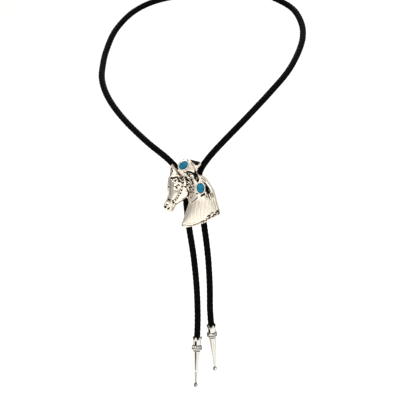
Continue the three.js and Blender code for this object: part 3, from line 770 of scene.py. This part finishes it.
def big_forms(points):
    """Height of the casting's main forms over each point of the slide."""
    height = np.full(len(points), PLATE_RISE)
    for name, (rise, edge_share, outline) in FORMS.items():
        height = np.maximum(height, dome(points, closed_outline(outline), rise, edge_share))
        if name == "neck":
            for hollow in HOLLOWS:
                height = np.where(inside(points, closed_outline(hollow)), HOLLOW_FLOOR, height)
    for centre, radius, rise, edge_share in ROUND_FORMS:
        gap = np.linalg.norm(points - on_slide(centre), axis=1) / radius
        round_top = rise * (edge_share + (1 - edge_share) * np.sqrt(np.clip(1 - gap**2, 0, 1)))
        height = np.maximum(height, np.where(gap < 1, round_top, 0))
    rim = SEAT_GAP + BEZEL_WALL
    for centre, length, width, turn, floor in STONES.values():
        cup = oval(on_slide(centre), length / 2 + rim, width / 2 + rim, turn)
        height = np.where(inside(points, cup), floor, height)
    return height


def remeshed(mesh, voxel):
    """The mesh with an even skin of quads of that size."""
    holder = bpy.data.objects.new("remesh", mesh)
    bpy.context.collection.objects.link(holder)
    modifier = holder.modifiers.new("skin", "REMESH")
    modifier.mode = "VOXEL"
    modifier.voxel_size = voxel
    evaluated = holder.evaluated_get(bpy.context.evaluated_depsgraph_get())
    skin = bpy.data.meshes.new_from_object(evaluated)
    bpy.data.objects.remove(holder)
    return skin


def read_rows(items, field, width, kind=float):
    """A field of all of a mesh's vertices or edges, one row each."""
    flat = np.empty(len(items) * width, kind)
    items.foreach_get(field, flat)
    return flat.reshape(-1, width)


def set_places(mesh, places):
    mesh.vertices.foreach_set("co", places.ravel())
    mesh.update()


def blurred(values, edges, rounds):
    """The values averaged over each vertex's neighbours, that many times."""
    values = values.astype(float)
    shape = (-1,) + (1,) * (values.ndim - 1)
    count = np.bincount(edges.ravel(), minlength=len(values)).reshape(shape)
    for _ in range(rounds):
        total = np.zeros_like(values)
        np.add.at(total, edges[:, 0], values[edges[:, 1]])
        np.add.at(total, edges[:, 1], values[edges[:, 0]])
        values = 0.5 * values + 0.5 * total / np.maximum(count, 1)
    return values


# Raised lines: places in thousandths, width and height in mm, how dark their sides are
RIDGES = [
    ([(71, 417), (126, 405), (188, 373), (217, 339)], 1.3, 0.5, 0.5),
    ([(358, 622), (327, 546), (272, 465), (206, 392)], 1.5, 0.55, 0.3),
    ([(664, 767), (747, 724), (828, 639), (892, 547), (934, 438), (980, 309)], 1.0, 0.7, 0.35),
    ([(689, 781), (780, 731), (857, 653), (924, 557), (970, 456), (1001, 334)], 0.9, 0.5, 0.3),
    ([(565, 840), (604, 794), (658, 757)], 0.9, 1.6, 0.3),
    ([(546, 989), (595, 981), (647, 963), (675, 943), (654, 915), (604, 890), (570, 876)], 0.9, 1.5, 0.2),
    ([(460, 956), (503, 932), (535, 894), (564, 851)], 0.8, 0.7, 0.3),
    ([(161, 918), (143, 857), (134, 770)], 0.8, 0.6, 0.4),
    ([(172, 912), (220, 848), (269, 770)], 0.8, 0.7, 0.35),
    ([(355, 771), (389, 712), (419, 656)], 0.9, 0.7, 0.4),
    ([(234, 827), (288, 797), (332, 757)], 0.8, 0.5, 0.4),
    ([(376, 748), (443, 721), (508, 665)], 0.8, 0.6, 0.4),
    ([(437, 777), (500, 746), (552, 685), (572, 600)], 0.8, 0.5, 0.35),
    ([(230, 602), (256, 626), (290, 631), (311, 614)], 0.6, 0.45, 0.5),
    ([(216, 548), (252, 557), (291, 577)], 0.6, 0.35, 0.25),
    ([(590, 698), (610, 722), (586, 729)], 0.7, 1.4, 0.3),
    ([(779, 516), (800, 554), (829, 531)], 0.7, 1.2, 0.3),
    ([(754, 641), (779, 585), (782, 545)], 0.6, 1.0, 0.3),
    ([(342, 30), (429, 18), (525, 27), (639, 58)], 0.9, 0.4, 0.3),
    ([(637, 97), (769, 149), (891, 203), (998, 257)], 0.7, 0.5, 0.3),
]
RIDGE_SIDE_AT = 1.15  # of its half width
RIDGE_SIDE_SPREAD = 0.4

# Engraved lines: places in thousandths, width and depth in mm, how dark they are
GROOVES = [
    ([(134, 727), (137, 642), (131, 556), (129, 463)], 1.1, 0.45, 0.34),
    ([(134, 730), (186, 723), (238, 734), (283, 730)], 1.3, 0.5, 0.86),
    ([(149, 721), (177, 698)], 0.96, 0.4, 0.8),
    ([(215, 720), (230, 679)], 0.96, 0.4, 0.8),
    ([(264, 721), (283, 699), (299, 671)], 1.1, 0.45, 0.92),
    ([(310, 742), (304, 707)], 0.96, 0.4, 0.8),
    ([(347, 745), (336, 720), (344, 692)], 1.2, 0.5, 0.98),
    ([(282, 764), (322, 760)], 1.1, 0.4, 0.86),
    ([(386, 739), (404, 714), (430, 694), (470, 671)], 1.4, 0.6, 1),
    ([(409, 777), (449, 755), (487, 726)], 0.96, 0.4, 0.75),
    ([(389, 613), (418, 587)], 1.1, 0.5, 1),
    ([(425, 573), (453, 534), (456, 491), (431, 449)], 1.1, 0.45, 0.63),
    ([(482, 380), (522, 385), (562, 410), (619, 460)], 0.96, 0.35, 0.52),
    ([(237, 600), (257, 615), (286, 633)], 0.96, 0.35, 0.92),
    ([(288, 634), (304, 608)], 0.84, 0.3, 0.8),
    ([(216, 539), (238, 547)], 0.72, 0.25, 0.52),
    ([(79, 428), (103, 412), (139, 416)], 1.2, 0.45, 0.92),
    ([(88, 271), (107, 286), (124, 297)], 1.3, 0.55, 1),
    ([(411, 811), (477, 809), (520, 794), (555, 772), (587, 743)], 1.7, 0.9, 1),
    ([(561, 823), (581, 788), (615, 759)], 1.3, 0.7, 1),
    ([(677, 467), (709, 485), (747, 505)], 1.7, 0.7, 1),
    ([(761, 485), (790, 447)], 0.84, 0.3, 0.57),
    ([(789, 497), (816, 458), (823, 427)], 0.84, 0.3, 0.57),
    ([(830, 505), (855, 460)], 0.84, 0.3, 0.57),
    ([(879, 522), (893, 455)], 0.72, 0.25, 0.46),
    ([(783, 170), (811, 190), (849, 201)], 1.1, 0.5, 1),
    ([(805, 148), (826, 163), (831, 184)], 0.96, 0.5, 1),
    ([(857, 171), (883, 176), (889, 198)], 0.96, 0.5, 1),
    ([(887, 212), (916, 203), (941, 217)], 1.1, 0.5, 1),
    ([(928, 232), (963, 247), (991, 251)], 1.2, 0.5, 1),
    ([(956, 207), (977, 214), (991, 231)], 1.1, 0.5, 1),
    ([(680, 99), (707, 114), (724, 106)], 0.72, 0.35, 0.69),
    ([(355, 55), (434, 40), (527, 45), (646, 79)], 0.6, 0.25, 0.4),
    ([(161, 863), (168, 827), (186, 810)], 1.0, 0.35, 0.95),
    ([(144, 803), (150, 766)], 0.9, 0.3, 0.9),
    ([(225, 845), (251, 807), (284, 766)], 0.8, 0.35, 0.7),
    ([(353, 805), (395, 794), (437, 774)], 0.9, 0.4, 0.85),
    ([(305, 682), (340, 662), (365, 630)], 0.8, 0.3, 0.7),
    ([(188, 681), (218, 670)], 0.8, 0.3, 0.6),
    ([(456, 595), (482, 555), (493, 504)], 0.8, 0.3, 0.6),
    ([(507, 610), (518, 562), (515, 513)], 0.8, 0.3, 0.65),
    ([(487, 718), (521, 670), (529, 628)], 0.9, 0.4, 0.8),
    ([(710, 762), (787, 713), (857, 636), (910, 542), (952, 435), (987, 320)], 0.55, 0.35, 0.4),
    ([(669, 734), (722, 709), (764, 671)], 0.7, 0.3, 0.5),
    ([(891, 425), (915, 353), (941, 282)], 0.5, 0.2, 0.3),
    ([(383, 82), (480, 71), (603, 94)], 0.4, 0.15, 0.25),
    ([(768, 127), (795, 152), (820, 136)], 0.8, 0.4, 0.9),
    ([(840, 222), (870, 230), (898, 241)], 0.8, 0.4, 0.9),
    ([(942, 261), (978, 273), (995, 277)], 0.8, 0.4, 0.9),
]
GROOVE_END_WIDTH = 0.45  # of its width
GROOVE_TAPER = 6  # how soon it widens from its ends

# Punched dots: places in thousandths, radius in mm, how dark they are
DOTS = [
    ((76, 343), 0.84, 1), ((48, 305), 1.1, 1), ((132, 396), 0.73, 0.95), ((182, 395), 0.73, 0.9),
    ((188, 370), 0.9, 1), ((237, 346), 0.84, 0.78), ((256, 349), 0.67, 0.67), ((301, 367), 0.67, 0.62),
    ((353, 605), 0.78, 0.95), ((341, 555), 0.73, 1), ((322, 510), 0.73, 0.95), ((293, 474), 0.73, 0.9),
    ((264, 439), 0.78, 0.95), ((233, 411), 0.73, 0.9), ((254, 585), 0.84, 1), ((98, 590), 0.67, 0.9),
    ((160, 854), 0.62, 0.9), ((175, 819), 0.67, 1), ((150, 795), 0.62, 1), ((139, 762), 0.67, 0.95),
    ((364, 658), 0.84, 1), ((362, 695), 0.67, 0.9), ((297, 673), 0.67, 0.78), ((228, 676), 0.62, 0.73),
    ((428, 661), 0.67, 0.9), ((429, 627), 0.84, 1), ((482, 624), 0.67, 0.78), ((482, 593), 0.84, 1),
    ((456, 638), 0.5, 0.67), ((509, 707), 0.67, 0.9), ((465, 768), 0.56, 0.9), ((425, 795), 0.56, 0.78),
    ((532, 648), 0.62, 0.84), ((545, 602), 0.62, 0.9), ((547, 562), 0.62, 0.95), ((542, 519), 0.62, 0.95),
    ((522, 479), 0.56, 0.67), ((500, 449), 0.56, 0.56), ((428, 976), 0.78, 1), ((361, 977), 0.67, 1),
    ((459, 921), 0.62, 1), ((606, 504), 0.78, 1), ((663, 82), 0.56, 0.78), ((707, 87), 0.56, 0.78),
    ((760, 113), 0.62, 0.9), ((764, 146), 0.45, 0.56), ((843, 419), 0.45, 0.45), ((340, 36), 0.78, 0.78),
]
DOT_DEPTH = 0.5  # of its radius

# Fields of fine work: outlines in thousandths, soft edges in mm
NECK_FIELD = [
    (463, 367), (591, 414), (713, 435), (903, 441), (987, 281), (762, 167), (620, 94), (373, 57),
    (407, 236),
]
BRUSH_EDGE = 1.5
BRUSH_SPACING = 2.1
BRUSH_PATCH = 7.7
BRUSH_SWAY = 0.3
BRUSH_SWAY_RATE = 0.35  # radians a mm
BRUSH_PATCH_SLANT = 0.12  # radians a mm
BRUSH_DEPTH = 0.12
BRUSH_DARK = 0.12
STIPPLE = [  # outline, spacing in mm, how dark
    ([(149, 728), (271, 749), (368, 744), (389, 643), (278, 652), (161, 679)], 1.7, 0.85),
    ([
        (376, 736), (455, 772), (552, 699), (581, 557), (519, 413), (429, 435), (464, 555), (397, 643),
    ], 1.75, 0.95),
    ([(298, 575), (359, 596), (306, 467), (213, 370), (171, 385), (262, 473)], 1.4, 0.5),
    ([(34, 427), (135, 428), (221, 362), (192, 248), (97, 247), (17, 318)], 1.9, 0.3),
    ([(656, 109), (797, 174), (998, 255), (1006, 208), (805, 126), (665, 61)], 1.6, 0.9),
    ([(730, 492), (869, 527), (903, 455), (816, 412), (739, 428)], 1.7, 0.7),
]
STIPPLE_EDGE = 0.8
STIPPLE_ROWS = (0.86, 0.5)  # what its rows run across
STIPPLE_CROSS_ROWS = (-0.42, 0.9)
STIPPLE_CROSS_SPACING = 1.13  # of its rows' spacing
STIPPLE_DEPTH = 0.28
DARK_FIELDS = [  # outline, how dark
    # The first, faint field is painted shade on the leaf
    ([(451, 916), (497, 916), (538, 884), (565, 843), (510, 834), (443, 848), (426, 882)], 0.15),
    ([
        (469, 989), (479, 1012), (514, 1015), (563, 978), (640, 963), (651, 943), (639, 923), (588, 896),
        (528, 929),
    ], 1.0),
    ([(555, 772), (611, 764), (642, 718), (625, 661), (581, 703)], 1.0),
    ([(735, 672), (781, 637), (846, 535), (823, 509), (763, 543)], 1.0),
]
DARK_FIELD_EDGE = 0.45
DARK_FIELD_DEPTH = 0.25


class Relief:
    """The fine relief of the casting's front: heights to add and how dark each place is, mostly patina,
    with painted shade on the leaf.
    """

    def __init__(self, points):
        self.points = points
        self.height = np.zeros(len(points))
        self.dark = np.zeros(len(points))

    def near(self, line, reach):
        """The points within reach of a line: which they are, how far off and how far along it."""
        low, high = line.min(axis=0) - reach, line.max(axis=0) + reach
        box = np.all((self.points > low) & (self.points < high), axis=1)
        index = np.nonzero(box)[0]
        gap, share = nearest(self.points[index], line)
        close = gap < reach
        return index[close], gap[close], share[close]

    def ridge(self, line, width, height, dark):
        index, gap, _ = self.near(open_line(line), width)
        off = gap / (width / 2)
        crown = np.clip(1 - off**2, 0, 1) ** 0.5
        self.height[index] = np.maximum(self.height[index], height * crown)
        side = np.clip(1 - np.abs(off - RIDGE_SIDE_AT) / RIDGE_SIDE_SPREAD, 0, 1)
        self.dark[index] = np.maximum(self.dark[index] * (1 - crown), dark * side)

    def groove(self, line, width, depth, dark):
        index, gap, share = self.near(open_line(line), width)
        taper = np.clip(np.minimum(share, 1 - share) * GROOVE_TAPER + GROOVE_END_WIDTH, 0, 1)
        cut = np.clip(1 - (gap / (width / 2 * taper)) ** 2, 0, 1)
        self.height[index] -= depth * cut
        self.dark[index] = np.maximum(self.dark[index], dark * cut**0.5)

    def dot(self, place, radius, dark):
        gap = np.linalg.norm(self.points - on_slide(place), axis=1) / radius
        cut = np.clip(1 - gap**2, 0, 1)
        self.height -= DOT_DEPTH * radius * cut
        self.dark = np.maximum(self.dark, dark * cut**0.5)

    def field(self, region, depth, dark):
        """Sinks and darkens the points of a region, a mask from 0 to 1."""
        self.height -= region * depth
        self.dark = np.maximum(self.dark, region * dark)


def region_of(points, places, edge):
    """1 well inside the outline, falling to 0 at it over a soft edge in mm."""
    outline = closed_outline(places)
    gap = nearest(points, np.vstack([outline, outline[:1]]))[0]
    return np.where(inside(points, outline), np.clip(gap / edge, 0, 1), 0)


def fine_relief(points):
    """Brushed neck, stipple, dark fields, raised and engraved lines, and dots."""
    relief = Relief(points)
    x, y = points.T
    swayed = x + BRUSH_SWAY * np.sin(y * BRUSH_SWAY_RATE)
    patches = np.sin(TURN * x / BRUSH_PATCH + y * BRUSH_PATCH_SLANT)
    brush = np.sin(TURN * swayed / BRUSH_SPACING) * patches
    relief.field(region_of(points, NECK_FIELD, BRUSH_EDGE) * (0.5 + 0.5 * brush), BRUSH_DEPTH, BRUSH_DARK)
    for outline, spacing, dark in STIPPLE:
        rows = np.sin(TURN * (points @ STIPPLE_ROWS) / spacing)
        cross_rows = np.sin(TURN * (points @ STIPPLE_CROSS_ROWS) / (spacing * STIPPLE_CROSS_SPACING))
        spots = region_of(points, outline, STIPPLE_EDGE) * np.clip(rows * cross_rows, 0, 1)
        relief.field(spots, STIPPLE_DEPTH, dark)
    for outline, dark in DARK_FIELDS:
        relief.field(region_of(points, outline, DARK_FIELD_EDGE), DARK_FIELD_DEPTH, dark)
    for ridge in RIDGES:
        relief.ridge(*ridge)
    for groove in GROOVES:
        relief.groove(*groove)
    for dot in DOTS:
        relief.dot(*dot)
    return relief


def make_blank():
    """The flat blank of the slide, with an even skin."""
    bm = bmesh.new()
    outline = closed_outline(PLATE_OUTLINE, PLATE_STEPS_A_SPAN)
    base = bm.faces.new([bm.verts.new((x, y, 0)) for x, y in outline])
    top = bmesh.ops.extrude_face_region(bm, geom=[base])
    risen = [g for g in top["geom"] if isinstance(g, bmesh.types.BMVert)]
    bmesh.ops.translate(bm, verts=risen, vec=(0, 0, BLANK_THICKNESS))
    bmesh.ops.recalc_face_normals(bm, faces=bm.faces)
    return remeshed(to_mesh("blank", bm), BLANK_VOXEL)


def make_slide(material):
    """The casting: its blank raised into the main forms, softened, and given its fine relief."""
    skin = make_blank()
    places = read_rows(skin.vertices, "co", 3)
    places[:, 2] = np.clip(places[:, 2] / BLANK_THICKNESS, 0, 1) * big_forms(places[:, :2])
    set_places(skin, places)

    cast = remeshed(skin, CAST_VOXEL)
    edges = read_rows(cast.edges, "vertices", 2, int)
    places = read_rows(cast.vertices, "co", 3)
    places = places * (1 - SOFTEN_SHARE) + blurred(places, edges, SOFTEN_ROUNDS) * SOFTEN_SHARE
    set_places(cast, places)

    facing = read_rows(cast.vertices, "normal", 3)[:, 2]
    front = np.clip(facing * FRONT_SLOPE, 0, 1) * (places[:, 2] > BACK_LEVEL)
    level = blurred(places[:, 2], edges, LEVEL_ROUNDS)
    relief = fine_relief(places[:, :2])
    places[:, 2] += relief.height * front
    set_places(cast, places)

    under = level - places[:, 2] - HOLLOW_DARK_FROM
    dark = np.maximum(relief.dark * front, np.clip(under * HOLLOW_DARK_RATE, 0, HOLLOW_DARK_MOST))
    on_floor = (places[:, 2] > BACK_LEVEL) & (places[:, 2] < HOLLOW_WALL_TOP)
    for outline in HOLLOWS:
        floor = region_of(places[:, :2], outline, HOLLOW_EDGE) * on_floor
        dark = np.maximum(dark, floor * HOLLOW_FLOOR_DARK)
    attribute = cast.attributes.new("patina_and_shade", "FLOAT", "POINT")
    attribute.data.foreach_set("value", np.clip(dark, 0, 1))
    cast.transform(SLIDE_PLACE)
    return new_piece("cast_horse_head", cast, material, "antiqued_silver", "horse_head")


def seat(bm, centre, turn, height):
    """Turns a form of a stone's oval into its place on the slide."""
    x, y = on_slide(centre)
    turned = Matrix.Rotation(math.radians(turn), 4, "Z")
    matrix = SLIDE_PLACE @ Matrix.Translation((x, y, height)) @ turned
    bmesh.ops.transform(bm, verts=bm.verts, matrix=matrix)


def make_stone(name, material):
    centre, length, width, turn, floor = STONES[name]
    profile = [(0, 0), (STONE_FOOT, 0), (1, STONE_FOOT_RISE), (1, STONE_GIRDLE)]
    for k in range(1, STONE_DOME_STEPS):
        a = math.pi / 2 * k / STONE_DOME_STEPS
        profile.append((math.cos(a), STONE_GIRDLE + STONE_DOME * math.sin(a)))
    profile.append((0, STONE_GIRDLE + STONE_DOME))
    spun = spin_profile([(r * width / 2, z) for r, z in profile], STONE_STEPS)
    bmesh.ops.scale(spun, verts=spun.verts, vec=(length / width, 1, 1))
    seat(spun, centre, turn, floor + SEAT_GAP)
    return new_piece(name + "_cabochon", spun, material, "turquoise", name)


def make_bezel(name, stone, material):
    """The smooth collar of sheet metal that is rubbed over the stone's edge."""
    centre, length, width, turn, floor = STONES[stone]
    inner, outer = width / 2 + BEZEL_INNER_GAP, width / 2 + SEAT_GAP + BEZEL_WALL
    profile = [(inner, BEZEL_INSIDE[-1][1])]
    profile += [(outer + off, z) for off, z in BEZEL_OUTSIDE]
    profile += [(inner + off, z) for off, z in BEZEL_INSIDE]
    spun = spin_profile(profile, BEZEL_STEPS)
    patina_and_shade = spun.verts.layers.float.new("patina_and_shade")
    for v in spun.verts:
        flat = math.hypot(v.co.x, v.co.y)
        lip_dark = BEZEL_LIP_DARK if flat < inner + BEZEL_LIP_REACH else 0.0
        v[patina_and_shade] = BEZEL_FOOT_DARK if v.co.z < BEZEL_FOOT_TOP else lip_dark
        v.co.x += (length - width) / 2 * v.co.x / flat
    seat(spun, centre, turn, floor)
    return new_piece(name, spun, material, "antiqued_silver", "horse_head")


# Clip
CLIP_HEIGHT = 11 * MM
CLIP_BOTTOM_Z = -0.1655
CLIP_METAL = 0.9 * MM
CLIP_CURL_START_DEG = -90
CLIP_CURL_END_DEG = 150
CLIP_CURL_STEP_DEG = 10
CLIP_SHARP_DEG = 60
CLIP_EDGE_ROUND = 0.18 * MM
CORD_SPACING = 10.9 * MM
CORD_CLEARANCE = 0.5 * MM
CORDS_MIDDLE_X = -0.00105
CORDS_BEHIND_SLIDE_Y = -0.1532


def make_clip(material):
    """One strip of sheet metal, flat behind the slide, with both ends curled round a cord."""
    middle = CORD_DIAMETER / 2 + CORD_CLEARANCE + CLIP_METAL / 2
    turns = range(CLIP_CURL_START_DEG, CLIP_CURL_END_DEG + 1, CLIP_CURL_STEP_DEG)
    arc = [math.radians(a) for a in turns]
    right = [(CORD_SPACING / 2 + middle * math.cos(a), middle * math.sin(a)) for a in arc]
    left = [(-x, y) for x, y in reversed(right)]
    low = [(CORDS_MIDDLE_X + x, CORDS_BEHIND_SLIDE_Y + y, CLIP_BOTTOM_Z) for x, y in left + right]
    bm = drawn_sheet(low, (0, 0, CLIP_HEIGHT))
    bmesh.ops.solidify(bm, geom=bm.faces[:], thickness=CLIP_METAL)
    bmesh.ops.recalc_face_normals(bm, faces=bm.faces)
    joined = [e for e in bm.edges if len(e.link_faces) == 2]
    sharp = [e for e in joined if e.calc_face_angle() > math.radians(CLIP_SHARP_DEG)]
    bmesh.ops.bevel(
        bm, geom=sharp, offset=CLIP_EDGE_ROUND, segments=2, profile=0.5, affect="EDGES", material=-1
    )
    return new_piece("bent_clip", bm, material, "clip_metal", "slide_clip")


# Stage: floor, backdrop and lights, in m
PAPER_WIDTH = 6
PAPER_FRONT_Y = -2.2
FLOOR_Z = -0.42
BACKDROP_Y = 1.9
BACKDROP_TOP_Z = 2.6
COVE_RADIUS = 0.6
COVE_STEPS = 12
TIE_MIDDLE = (0, -0.1, -0.17)
LIGHTS = [  # name, place, where it aims, size, power in watts
    ("key softbox", (-0.7, -1.1, 0.75), TIE_MIDDLE, 0.5, 7),
    ("fill softbox", (0.95, -0.9, 0.25), TIE_MIDDLE, 0.6, 3),
    ("front scrim", (0.2, -1.9, 0.3), TIE_MIDDLE, 1.6, 6.2),
    ("top softbox", (0, -0.1, 1.1), TIE_MIDDLE, 0.8, 6),
    ("paper wash", (0, 0.9, 1.7), (0, 1.3, -0.4), 2.4, 34),
]
ROOM_COLOUR = "#fdfdfb"
ROOM_STRENGTH = 0.42


def make_stage():
    """A sheet of background paper: the floor, a round cove and the wall behind."""
    profile = [(PAPER_FRONT_Y, FLOOR_Z)]
    for k in range(COVE_STEPS + 1):
        a = math.pi / 2 * k / COVE_STEPS
        forward, up = COVE_RADIUS * (1 - math.sin(a)), COVE_RADIUS * (1 - math.cos(a))
        profile.append((BACKDROP_Y - forward, FLOOR_Z + up))
    profile.append((BACKDROP_Y, BACKDROP_TOP_Z))
    bm = drawn_sheet([(-PAPER_WIDTH / 2, y, z) for y, z in profile], (PAPER_WIDTH, 0, 0))
    new_object("background_paper", bm, studio_paper())


def make_lights():
    for name, place, aim, size, power in LIGHTS:
        data = bpy.data.lights.new(name, "AREA")
        data.shape = "SQUARE"
        data.size = size
        data.energy = power
        light = bpy.data.objects.new(name, data)
        bpy.context.collection.objects.link(light)
        light.location = place
        light.rotation_euler = (Vector(aim) - Vector(place)).to_track_quat("-Z", "Y").to_euler()
    world = bpy.data.worlds.new("studio")
    bpy.context.scene.world = world
    world.use_nodes = True
    background = world.node_tree.nodes["Background"]
    background.inputs["Color"].default_value = linear(ROOM_COLOUR)
    background.inputs["Strength"].default_value = ROOM_STRENGTH
    bpy.context.scene.view_settings.view_transform = "Standard"


# Assembly
make_camera()

route_line = Line(smooth_route(CORD_ROUTE, CORD_STEPS_A_SPAN))
cord = make_cord(route_line)

# Plated brass, oxidised and buffed: mirror-bright faces between near-black grooves.
tip_silver = antiqued_metal("polished plated brass", "#dedbd5", "#aeaba4", "#4a463f", 0.14, 0.8)
# Silver alloy, cast, blackened and buffed: pale, warm high parts with a fine cast grain.
cast_silver = antiqued_metal("oxidised cast silver", "#f9efe2", "#cfc4b1", "#4e4638", 0.2, 0.55)
# Rolled sheet with a nickel plate: an even grey, a little duller than the casting.
clip_steel = antiqued_metal("nickel-plated spring steel", "#d9d8d4", "#bdbbb5", "#5b5850", 0.25, 1.2)
blue_stone = turquoise()

left_tip = make_tip(
    "tip_left_crown", "tip_left", Vector(route_line.places[0]), -route_line.ahead[0],
    LEFT_TIP_TURN_DEG, LEFT_SEAM, tip_silver,
)
right_tip = make_tip(
    "tip_right_crown", "tip_right", Vector(route_line.places[-1]), route_line.ahead[-1],
    RIGHT_TIP_TURN_DEG, RIGHT_SEAM, tip_silver,
)
make_slide(cast_silver)
for stone, bezel in (("turquoise_upper", "bezel_upper"), ("turquoise_lower", "bezel_lower")):
    make_stone(stone, blue_stone)
    make_bezel(bezel, stone, cast_silver)
make_clip(clip_steel)

make_stage()
make_lights()
